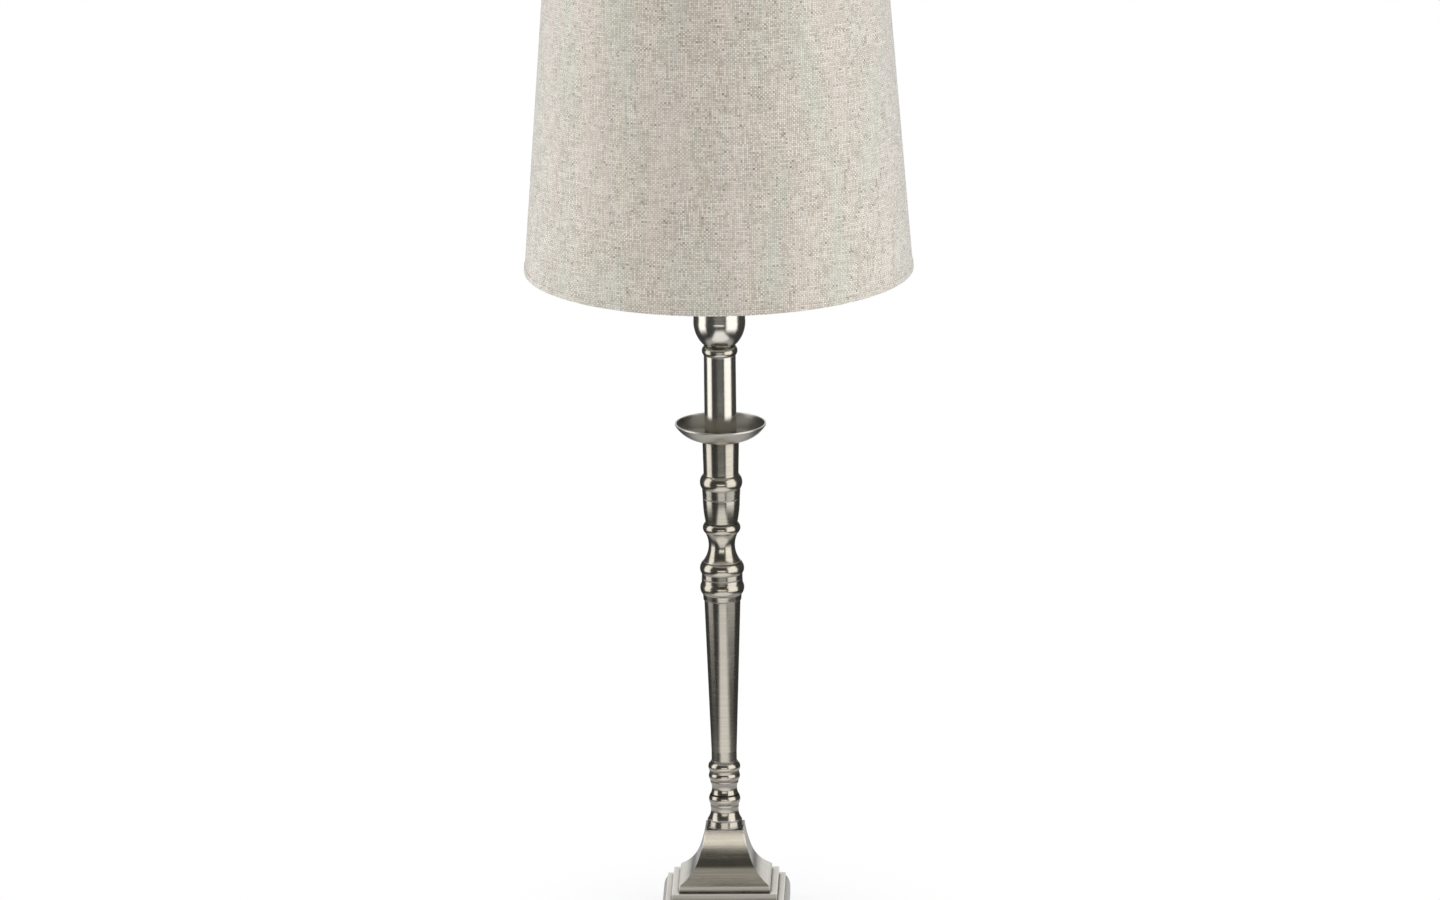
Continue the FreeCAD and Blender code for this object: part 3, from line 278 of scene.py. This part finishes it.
# ---------------------------------------------------------------- materials
STACK = ("base_casting", "foot_ring", "flared_foot", "lower_knop", "double_bead", "tapered_column",
         "lower_collar", "upper_collar", "waisted_baluster", "vase_section", "candle_socket", "drip_pan",
         "candle_tube", "tube_bead_ring", "holder_cup")
JOINTS = [max(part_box(low)[1][2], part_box(high)[0][2]) for low, high in zip(STACK, STACK[1:])
          if low != "drip_pan"]                        # heights; the tube's foot is hidden in the pan
KNOP_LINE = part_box("lower_knop")[0][2] + KNOP_LINE_RISE


def joint_line(g):
    """1 on the dark lines where one turned piece of the stack sits on the next."""
    height = g.split(g.place())[2]
    nearest = 1.0
    for joint in (*JOINTS, KNOP_LINE):
        off = g.math("ABSOLUTE", g.math("SUBTRACT", height, joint))
        nearest = g.math("MINIMUM", off, nearest)
    return g.ramp(nearest, 0.5 * JOINT_LINE, JOINT_LINE, 1.0, 0.0)


def old_nickel(name, low, high, rough, wax_and_shade=1.0, upward_shade=0.0):
    """Brushed nickel, waxed dark in its joints and recesses, with thin waxing and painted shade in its wide
    hollows, and its edges rubbed bright and lit with a painted highlight.

    The fifth argument scales both the dark waxing in recesses and the painted shade in wide hollows. The
    last is the share of painted shade laid on faces that look up, as inside a pan.
    """
    g = Graph(name)
    place = g.place()
    streak = g.noise(g.stretch(place, STREAK_SCALE), 1.0, 3.0, 0.6)
    broad = g.noise(g.stretch(place, BAND_SCALE), 1.0, 3.0, 0.55)
    cloud = g.noise(place, STAIN_SCALE, 4.0, 0.6)
    open_air = g.math("ADD", occlusion(g, RECESS_REACH), g.ramp(cloud, 0.2, 0.8, -0.06, 0.06))
    recess = g.ramp(open_air, 0.42, 0.92)
    # Painted shade: darker in wide hollows and under overhangs.
    wide = g.ramp(occlusion(g, HOLLOW_SHADE_REACH), 0.30, 0.90)
    line = g.math("MULTIPLY", joint_line(g), g.ramp(cloud, 0.25, 0.6, 0.55, 1.0))
    recess = g.math("SUBTRACT", recess, line, clamp=True)
    # Sharp edges, to be lightened as rubbed wear and as a painted highlight.
    edge = g.ramp(occlusion(g, EDGE_REACH, inside=True), 0.90, 0.45)
    metal = g.mix(g.ramp(streak, 0.3, 0.7), low, high)
    darker = tuple(BAND_DARKER * part for part in low)
    metal = g.mix(g.ramp(broad, 0.45, 0.75, 0.0, BAND_SHARE), metal, darker)
    # Painted shade with thin wax laid into the wide hollows, as far as the fifth argument asks.
    metal = g.mix(g.math("MULTIPLY", g.rest(wide), HOLLOW_SHADE_SHARE * wax_and_shade), metal, SHADE_AND_THIN_WAX)
    # Painted shade on faces that look up, as inside a pan.
    if upward_shade:
        upward = g.split(g.node("ShaderNodeNewGeometry").outputs["Normal"])[2]
        metal = g.mix(g.ramp(upward, 0.1, 0.4, 0.0, upward_shade), metal, SHADE_AND_THIN_WAX)
    colour = g.mix(g.math("MULTIPLY", g.rest(recess), wax_and_shade), metal, WAX_THICK)
    # Edges lightened: rubbed wear with a painted highlight.
    colour = g.mix(g.math("MULTIPLY", edge, RUBBED_HIGHLIGHT_SHARE), colour, RUBBED_AND_HIGHLIGHT)
    brushed, stained = g.ramp(streak, 0.2, 0.8, rough, rough + 0.06), g.ramp(cloud, 0.3, 0.7, -0.01, 0.02)
    fine = g.math("ADD", g.math("ADD", brushed, stained), g.math("MULTIPLY", g.rest(recess), WAX_ROUGHER))
    return g.surface(colour, fine, 1.0, g.bump(streak, BRUSH_DEPTH, 0.30))


def linen():
    """Plain-woven natural linen with slubs, cut flat and rolled into the shade's cone."""
    g = Graph("linen")
    x, y, z = g.split(g.place())
    angle = g.math("ARCTAN2", x, g.math("MULTIPLY", y, -1.0))
    slant = math.atan((SHADE_LOW_RADIUS - SHADE_HIGH_RADIUS) / SHADE_RISE)
    apex = SHADE_LOW + SHADE_LOW_RADIUS / math.tan(slant)
    reach = g.math("DIVIDE", g.math("SUBTRACT", apex, z), math.cos(slant))
    flat_angle = g.math("MULTIPLY", angle, math.sin(slant))
    u = g.math("MULTIPLY", reach, g.math("SINE", flat_angle))
    v = g.math("MULTIPLY", reach, g.math("COSINE", flat_angle))
    flat = g.join(u, v, 0.0)
    wander = g.noise(g.stretch(flat, WANDER_SCALE), 1.0, 1.0)
    drift = g.noise(g.stretch(flat, DRIFT_SCALE), 1.0, 1.0)
    warps = g.math("ADD", g.math("DIVIDE", u, WARP_PITCH), g.math("MULTIPLY", wander, THREAD_WANDER))
    wefts = g.math("ADD", g.math("DIVIDE", v, WEFT_PITCH), g.math("MULTIPLY", drift, THREAD_WANDER))
    warp = g.math("SINE", g.math("MULTIPLY", warps, math.pi))
    weft = g.math("SINE", g.math("MULTIPLY", wefts, math.pi))
    over = g.ramp(g.math("MULTIPLY", warp, weft), -0.12, 0.12)
    crown = g.math("MULTIPLY", g.math("ABSOLUTE", warp), g.math("ABSOLUTE", weft))

    def along(threads, length, seed, scale):
        """A value that changes from thread to thread and slowly along each thread."""
        own = g.math("MULTIPLY", g.math("FLOOR", threads), THREAD_STEP)
        return g.noise(g.join(own, g.math("MULTIPLY", length, scale), seed), 1.0, 2.0, 0.6)

    warp_tone, weft_tone = along(warps, v, 3.0, TONE_SCALE), along(wefts, u, 9.0, TONE_SCALE)
    slub = g.ramp(along(wefts, u, 21.0, SLUB_SCALE), 0.58, 0.68)
    tall_slub = g.ramp(along(warps, v, 33.0, SLUB_SCALE), 0.66, 0.78)
    tone = g.math("ADD", g.math("MULTIPLY", over, warp_tone),
                  g.math("MULTIPLY", g.rest(over), g.math("SUBTRACT", weft_tone, WEFT_DARKER)))
    cloud = g.noise(flat, CLOUD_SCALE, 3.0, 0.55)
    tint = g.noise(g.stretch(flat, TINT_SCALE), 1.0, 2.0, 0.5)
    colour = g.mix(g.ramp(tone, 0.26, 0.64), LINEN_DARK, LINEN_LIGHT)
    colour = g.mix(g.math("MULTIPLY", slub, g.ramp(over, 0.3, 0.9, 0.8, 0.15)), colour, LINEN_SLUB)
    colour = g.mix(g.math("MULTIPLY", tall_slub, g.ramp(over, 0.1, 0.7, 0.1, 0.6)), colour, LINEN_SLUB)
    # Painted shade in the gaps between the threads.
    colour = g.mix(g.ramp(crown, 0.0, 0.45, GAP_SHADE_SHARE, 0.0), colour, LINEN_GAP_SHADE)
    colour = g.mix(g.ramp(cloud, 0.3, 0.7, 0.0, CLOUD_SHARE), colour, LINEN_CLOUD)
    colour = g.mix(g.ramp(tint, 0.50, 0.66, 0.0, TINT_SHARE), colour, LINEN_PINK)
    colour = g.mix(g.ramp(tint, 0.50, 0.34, 0.0, TINT_SHARE), colour, LINEN_GREEN)
    height = g.math("ADD", crown, g.math("MULTIPLY", g.math("ADD", slub, tall_slub), SLUB_HEIGHT))
    return g.surface(colour, LINEN_ROUGH, 0.0, g.bump(height, WEAVE_DEPTH, WEAVE_BUMP), Sheen_Weight=0.60,
                     Sheen_Roughness=0.45, Sheen_Tint=SHEEN_TINT, Specular_IOR_Level=0.25)


def plain_metal(name, low, high, rough):
    """Machined or plated metal with faint turning marks."""
    g = Graph(name)
    place = g.place()
    fine = g.noise(g.stretch(place, (60.0, 60.0, 1800.0)), 1.0, 3.0)
    cloud = g.noise(place, 120.0, 4.0, 0.6)
    colour = g.mix(g.ramp(cloud, 0.3, 0.7), low, high)
    roughness = g.ramp(fine, 0.3, 0.7, rough - 0.05, rough + 0.06)
    return g.surface(colour, roughness, 1.0, g.bump(fine, BRUSH_DEPTH, 0.4))


def plain_finish(name, low, high, rough, grain=900.0, depth=0.03 * MM, **constants):
    """Plastic, felt, paint or ceramic: a clouded colour with a fine grain."""
    g = Graph(name)
    place = g.place()
    fine = g.noise(place, grain, 3.0, 0.6)
    cloud = g.noise(place, 45.0, 3.0, 0.5)
    colour = g.mix(g.ramp(cloud, 0.3, 0.7), low, high)
    roughness = g.ramp(fine, 0.3, 0.7, max(rough - 0.06, 0.02), min(rough + 0.08, 1.0))
    return g.surface(colour, roughness, 0.0, g.bump(fine, depth, 0.6), **constants)


def glass(name, tint):
    """Clear glass with a faint unevenness in its polish."""
    g = Graph(name)
    faint = g.noise(g.place(), 40.0, 2.0)
    return g.surface(tint, g.ramp(faint, 0.3, 0.7, 0.0, 0.015), 0.0, None,
                     Transmission_Weight=1.0, IOR=1.47)


def green_yellow():
    """The earth lead's striped sleeve."""
    g = Graph("green_lead")
    x, _, z = g.split(g.place())
    stripe = g.math("SINE", g.math("MULTIPLY", g.math("ADD", x, z), 2200.0))
    fine = g.noise(g.place(), 500.0, 2.0)
    colour = g.mix(g.ramp(stripe, 0.2, 0.5), (0.05, 0.26, 0.05), (0.70, 0.55, 0.04))
    return g.surface(colour, g.ramp(fine, 0.3, 0.7, 0.35, 0.5), 0.0, None)


NICKEL = old_nickel("antique_nickel", (0.465, 0.435, 0.375), (0.58, 0.545, 0.475), 0.16)
LINEN = linen()
# The pan: the same old nickel in lighter colours as painted light, rougher, and with painted shade on its
# faces that look up.
PAN_NICKEL_LIT_AND_SHADED = old_nickel("pan_nickel_lit_and_shaded", (0.51, 0.485, 0.42), (0.64, 0.61, 0.54), 0.30, 1.0, 0.7)
MATERIALS = {
    "antique_nickel": NICKEL,
    "linen": LINEN,
    "hem_tape": LINEN,
    "felt": plain_finish("felt", (0.018, 0.018, 0.018), (0.035, 0.034, 0.033), 0.95, 1600.0, 0.2 * MM,
                         Sheen_Weight=0.3),
    "zinc_steel": plain_metal("zinc_steel", (0.55, 0.56, 0.56), (0.68, 0.68, 0.66), 0.34),
    "cast_iron": plain_finish("cast_iron", (0.05, 0.048, 0.046), (0.09, 0.086, 0.082), 0.75, 700.0,
                              0.3 * MM),
    "black_plastic": plain_finish("black_plastic", (0.018, 0.018, 0.019), (0.028, 0.028, 0.029), 0.45),
    "white_plastic": plain_finish("white_plastic", (0.70, 0.69, 0.65), (0.76, 0.75, 0.71), 0.42),
    "contact_brass": plain_metal("contact_brass", (0.72, 0.52, 0.22), (0.83, 0.63, 0.30), 0.26),
    "holder_plastic": plain_finish("holder_plastic", (0.014, 0.014, 0.015), (0.024, 0.024, 0.025), 0.30),
    "porcelain": plain_finish("porcelain", (0.74, 0.71, 0.65), (0.80, 0.78, 0.72), 0.18, 300.0, 0.02 * MM),
    "shell_nickel": plain_metal("shell_nickel", (0.52, 0.50, 0.46), (0.64, 0.61, 0.56), 0.28),
    "shade_lining": plain_finish("shade_lining", (0.76, 0.75, 0.71), (0.81, 0.80, 0.76), 0.55, 260.0,
                                 0.06 * MM),
    "white_wire": plain_finish("white_wire", (0.74, 0.74, 0.73), (0.80, 0.80, 0.79), 0.30),
    "clear_glass": glass("clear_glass", (0.97, 0.985, 0.98)),
    "cap_nickel": plain_metal("cap_nickel", (0.62, 0.61, 0.59), (0.74, 0.73, 0.71), 0.22),
    "black_glass": plain_finish("black_glass", (0.012, 0.012, 0.014), (0.02, 0.02, 0.022), 0.08, 300.0,
                                0.01 * MM),
    "phosphor": plain_finish("phosphor", (0.80, 0.52, 0.10), (0.86, 0.60, 0.16), 0.60),
    "brown_lead": plain_finish("brown_lead", (0.10, 0.045, 0.02), (0.14, 0.065, 0.03), 0.42),
    "blue_lead": plain_finish("blue_lead", (0.02, 0.10, 0.36), (0.03, 0.14, 0.44), 0.42),
    "green_lead": green_yellow(),
}
# The pan's lighter nickel, with its painted light and shade.
OWN_FINISH = {"drip_pan": PAN_NICKEL_LIT_AND_SHADED}      # in place of the finish of the piece's slot
BEVELS = {"antique_nickel": 0.55 * MM, "zinc_steel": 0.15 * MM, "holder_plastic": 0.3 * MM,
          "white_plastic": 0.4 * MM, "porcelain": 0.4 * MM, "cast_iron": 1.0 * MM}


def soften(thing, width):
    """Break the sharp edges, so that joints and rims catch the light."""
    bevel = thing.modifiers.new("edges", "BEVEL")
    bevel.width = width
    bevel.segments = BEVEL_SEGMENTS
    bevel.limit_method = "ANGLE"
    bevel.angle_limit = math.radians(BEVEL_FROM)
    bevel.use_clamp_overlap = True
    bevel.harden_normals = True


def dress():
    """Give each CAD node its finish and its softened edges."""
    for part in frame["record"]["subparts"]:
        node = NODES[part["node"]]
        finish = OWN_FINISH.get(part["node"], MATERIALS[part["material_slot"]])
        node.data.materials.clear()
        node.data.materials.append(finish)
        if part["material_slot"] in BEVELS:
            soften(node, BEVELS[part["material_slot"]])


dress()


def back_seam():
    """The linen's glued overlap down the back of the shade."""
    half = SEAM_WIDTH / 2
    corners, faces = [], []
    for row in range(SEAM_ROWS + 1):
        share = row / SEAM_ROWS
        z = SHADE_LOW + SEAM_INSET + (SHADE_RISE - 2 * SEAM_INSET) * share
        radius = SHADE_LOW_RADIUS + (SHADE_HIGH_RADIUS - SHADE_LOW_RADIUS) * (z - SHADE_LOW) / SHADE_RISE
        for column in range(SEAM_COLUMNS + 1):
            place = 2 * column / SEAM_COLUMNS - 1
            lift = SEAM_THICKNESS * (1 - place ** 6) - SEAM_SINK
            turn = half * place / radius
            corners.append((math.sin(turn) * (radius + lift), math.cos(turn) * (radius + lift), z))
    for row in range(SEAM_ROWS):
        for column in range(SEAM_COLUMNS):
            low = row * (SEAM_COLUMNS + 1) + column
            high = low + SEAM_COLUMNS + 1
            faces.append((low + 1, low, high, high + 1))
    seam = mesh_object("back_seam", corners, faces, smooth=True)
    seam.data.materials.append(LINEN)
    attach(seam, "shade")


back_seam()


BODY_OF = {node: body for body, names in frame["record"]["behaviour"]["bodies"].items() for node in names}
SLOT_OF = {part["node"]: part["material_slot"] for part in frame["record"]["subparts"]}


def threaded(node, outline, walls, low, high, pitch, depth):
    """A turned sleeve that stands for a plain one, with a round right-hand thread between two heights.

    The outline runs once round the sleeve's half section, outer wall upwards, as (radius, height). The
    thread is rolled into the walls named, so the sleeve keeps its size.
    """
    rings = []
    for (radius, height), (next_radius, next_height) in zip(outline, outline[1:] + outline[:1]):
        rings.append((radius, height))
        if radius == next_radius and radius in walls:
            count = max(2, round(abs(next_height - height) / pitch * PITCH_STEPS))
            rings += [(radius, height + (next_height - height) * step / count) for step in range(1, count)]
    corners, faces = [], []
    for step in range(TURN_STEPS):
        turn = 2 * math.pi * step / TURN_STEPS
        for radius, height in rings:
            if radius in walls and low < height < high:
                fade = min(1.0, (height - low) / pitch, (high - height) / pitch)
                phase = 2 * math.pi * (height - low) / pitch - turn
                radius -= depth * fade * (0.5 - 0.5 * math.cos(phase))
            corners.append((radius * math.sin(turn), -radius * math.cos(turn), height))
    count = len(rings)
    for step in range(TURN_STEPS):
        here, following = step * count, (step + 1) % TURN_STEPS * count
        for ring in range(count):
            up = (ring + 1) % count
            faces.append((here + ring, following + ring, following + up, here + up))
    sleeve = mesh_object("threaded_" + node, corners, faces, smooth=True)
    sleeve.data.set_sharp_from_angle(angle=math.radians(SHARP_FROM))
    sleeve.data.materials.append(MATERIALS[SLOT_OF[node]])
    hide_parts(node)
    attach(sleeve, BODY_OF[node])


def threaded_cap():
    """The bulb's cap, with the thread of its lampholder."""
    (_, _, low), (crest, _, high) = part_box("bulb_cap")
    tip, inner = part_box("bulb_insulator")[1][0], crest - CAP_WALL
    threaded("bulb_cap", [(tip, low), (crest, low + CAP_TAPER), (crest, high), (inner, high),
                          (inner, low + CAP_TAPER), (tip - CAP_WALL, low + CAP_WALL), (tip - CAP_WALL, low)],
             (crest, inner), low + CAP_TAPER, high - CAP_PLAIN, CAP_PITCH, CAP_DEPTH)


def threaded_skirt():
    """The lampholder's skirt, with the thread that carries the shade rings."""
    (_, _, low), (flange, _, high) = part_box("holder_skirt")
    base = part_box("holder_base")[1][0]
    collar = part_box("holder_cup")[1][2] + COLLAR_GAP
    foot, inner, lip = collar + SKIRT_FLANGE, SKIRT_RADIUS - SKIRT_WALL, high - SKIRT_LIP
    threaded("holder_skirt", [(base, low), (base, collar), (flange, collar), (flange, foot),
                              (SKIRT_RADIUS, foot), (SKIRT_RADIUS, high), (SKIRT_MOUTH, high),
                              (SKIRT_MOUTH, lip), (inner, lip), (inner, low)],
             (SKIRT_RADIUS,), foot, high, RING_PITCH, RING_DEPTH)


threaded_cap()
threaded_skirt()


# ---------------------------------------------------------------- camera
def add_camera():
    """The photograph's view: its middle at one point of the axis, its scale met there."""
    focal = LENS / SENSOR * PHOTO_WIDTH
    distance = focal * SCALE
    up, side = math.radians(ELEVATION), math.radians(AZIMUTH)
    way = Vector((math.sin(side) * math.cos(up), -math.cos(side) * math.cos(up), math.sin(up)))
    right = Vector((math.cos(side), math.sin(side), 0))
    aim = Vector((0, 0, AIM_Z)) + right * AIM_SHIFT
    data = bpy.data.cameras.new("photo_camera")
    data.sensor_width, data.lens = SENSOR, LENS
    data.clip_start, data.clip_end = CLIP_NEAR, CLIP_FAR
    camera = add_object("photo_camera", data)
    look = (-way).to_track_quat("-Z", "Y").to_matrix().to_4x4()
    tilt = Matrix.Rotation(math.radians(ROLL), 4, "Z")
    camera.matrix_world = Matrix.Translation(aim + way * distance) @ (look @ tilt)
    bpy.context.scene.camera = camera


add_camera()


# ---------------------------------------------------------------- studio
def around(azimuth, distance, height=0.0):
    """A point on the floor plan: azimuth 0 is the camera's side, positive to its right."""
    turn = math.radians(azimuth)
    return Vector((math.sin(turn) * distance, -math.cos(turn) * distance, height))


def square(half, height):
    """The corners of a level square round the lamp."""
    return [(-half, -half, height), (half, -half, height), (half, half, height), (-half, half, height)]


def reflected_only(name, corners, faces, level, tint):
    """A staged surface of light that shows only in reflections."""
    thing = mesh_object(name, corners, faces)
    g = Graph(name + "_face")
    g.link(g.glow(level, tint), g.out.inputs["Surface"])
    thing.data.materials.append(g.material)
    thing.visible_camera = thing.visible_diffuse = thing.visible_shadow = thing.visible_transmission = False


def standing_card(name, azimuth, spread, distance, low, high, level, tint):
    """An upright card that fills an angle, given by its half, as seen from the lamp."""
    middle = around(azimuth, distance)
    side = around(azimuth + 90, distance * math.tan(math.radians(spread)))
    corners = [middle + way * side + Vector((0, 0, height))
               for way, height in ((-1, low), (1, low), (1, high), (-1, high))]
    reflected_only(name, corners, ONE_FACE, level, tint)


def add_softbox(name, azimuth, spread, level):
    """A softbox: its light, and its face as metal mirrors it."""
    standing_card(name + "_face", azimuth, spread, SOFTBOX_DISTANCE, 0.0, SOFTBOX_TOP, level, SOFTBOX_WHITE)
    data = bpy.data.lights.new(name, "AREA")
    data.shape = "RECTANGLE"
    data.size, data.size_y = 2 * SOFTBOX_DISTANCE * math.tan(math.radians(spread)), SOFTBOX_TOP
    data.energy, data.color = SOFTBOX_POWER, LAMP_COLOUR
    lamp = add_object(name, data)
    place = around(azimuth, SOFTBOX_DISTANCE, SOFTBOX_TOP / 2)
    way = Vector((0, 0, SOFTBOX_AIM)) - place
    lamp.matrix_world = Matrix.Translation(place) @ way.to_track_quat("-Z", "Y").to_matrix().to_4x4()
    lamp.visible_glossy = False


def add_curtain():
    """Dark curtain round the lamp, open to the white backdrop behind it, and a pale ceiling over it."""
    corners, faces = [], []
    for step in range(CURTAIN_STEPS + 1):
        place = around(CURTAIN_HALF * (2 * step / CURTAIN_STEPS - 1), CURTAIN_RADIUS)
        corners += [(place.x, place.y, 0.0), (place.x, place.y, CURTAIN_TOP)]
        if step:
            faces.append((2 * step - 2, 2 * step, 2 * step + 1, 2 * step - 1))
    reflected_only("curtain", corners, faces, CURTAIN_LEVEL, CURTAIN_TINT)
    reflected_only("ceiling", square(CURTAIN_RADIUS, CURTAIN_TOP), ONE_FACE, CEILING_LEVEL, CEILING_TINT)


def lit_table(g, x, y):
    """How bright the floor looks in metal, and how far off each spot is.

    It is lit in front of the lamp, near it, behind it and at the softboxes.
    """
    far = g.math("SQRT", g.math("ADD", g.math("MULTIPLY", x, x), g.math("MULTIPLY", y, y)))
    across = g.math("ABSOLUTE", g.math("SUBTRACT", x, TABLE_MIDDLE))
    front = g.math("MULTIPLY", g.ramp(across, *TABLE_SIDE, 1.0, 0.0), g.ramp(y, *TABLE_FRONT))
    front = g.math("MULTIPLY", front, g.ramp(y, *TABLE_BACK, 1.0, 0.0))
    near = g.ramp(far, *NEAR_EDGE, NEAR_LEVEL, 0.0)
    wedge = g.math("SUBTRACT", y, g.math("MULTIPLY", g.math("ABSOLUTE", x), WEDGE_SLOPE))
    behind = g.ramp(wedge, *WEDGE_EDGE, 0.0, BEHIND_LEVEL)
    lit = g.math("MAXIMUM", g.math("MULTIPLY", front, TABLE_LEVEL), g.math("MAXIMUM", near, behind))
    for _, azimuth, spread, level in SOFTBOXES:
        way = around(azimuth, 1.0)
        facing = g.math("ADD", g.math("MULTIPLY", x, way.x), g.math("MULTIPLY", y, way.y))
        inside = g.ramp(g.math("DIVIDE", facing, far), math.cos(math.radians(spread + POOL_SOFT)),
                        math.cos(math.radians(spread - POOL_SOFT)))
        pool = g.math("MULTIPLY", inside, g.ramp(far, POOL_START, SOFTBOX_DISTANCE, 0.0, level))
        lit = g.math("MAXIMUM", lit, pool)
    return g.math("ADD", lit, FLOOR_LEVEL), far


def add_floor():
    """Pale floor: it keeps the lamp's shadow, fades to the white backdrop, and mirrors as a lit table.

    From below it is clear, so that the lamp's underside can be looked at.
    """
    floor = mesh_object("floor", square(FLOOR_HALF, FLOOR_HEIGHT), ONE_FACE)
    g = Graph("floor_paint")
    x, y, _ = g.split(g.place())
    path = g.node("ShaderNodeLightPath")
    seen_directly = path.outputs["Is Camera Ray"]
    paint = g.node("ShaderNodeBsdfDiffuse")
    paint.inputs["Color"].default_value = FLOOR_PAINT
    table, far = lit_table(g, x, y)
    fade = g.math("MULTIPLY", seen_directly, g.ramp(far, *SHADOW_EDGE, *SHADOW_CLEAR))
    shader = g.blend(fade, paint.outputs[0], g.glow(1.0))
    shader = g.blend(path.outputs["Is Glossy Ray"], shader, g.glow(table))
    under = g.math("MULTIPLY", g.node("ShaderNodeNewGeometry").outputs["Backfacing"], seen_directly)
    shader = g.blend(under, shader, g.node("ShaderNodeBsdfTransparent").outputs[0])
    g.link(shader, g.out.inputs["Surface"])
    floor.data.materials.append(g.material)


def add_world():
    """White to the camera and in reflections, a plain soft level for the light it gives."""
    world = bpy.data.worlds.new("studio")
    bpy.context.scene.world = world
    world.use_nodes = True
    tree = world.node_tree
    tree.nodes.clear()
    out = tree.nodes.new("ShaderNodeOutputWorld")
    path = tree.nodes.new("ShaderNodeLightPath")
    seen = path.outputs["Is Camera Ray"]
    for kind in ("Is Glossy Ray", "Is Transmission Ray"):
        both = tree.nodes.new("ShaderNodeMath")
        both.operation = "MAXIMUM"
        tree.links.new(seen, both.inputs[0])
        tree.links.new(path.outputs[kind], both.inputs[1])
        seen = both.outputs[0]
    mix = tree.nodes.new("ShaderNodeMixShader")
    tree.links.new(seen, mix.inputs[0])
    for level, socket in ((SOFT_LEVEL, mix.inputs[1]), (1.0, mix.inputs[2])):
        background = tree.nodes.new("ShaderNodeBackground")
        background.inputs["Color"].default_value = (1, 1, 1, 1)
        background.inputs["Strength"].default_value = level
        tree.links.new(background.outputs[0], socket)
    tree.links.new(mix.outputs[0], out.inputs["Surface"])


add_world()
add_floor()
add_curtain()
for softbox in SOFTBOXES:
    add_softbox(*softbox)
standing_card("front_card", **FRONT_CARD, tint=WARM_WHITE)

bpy.context.scene.view_settings.view_transform = "Standard"
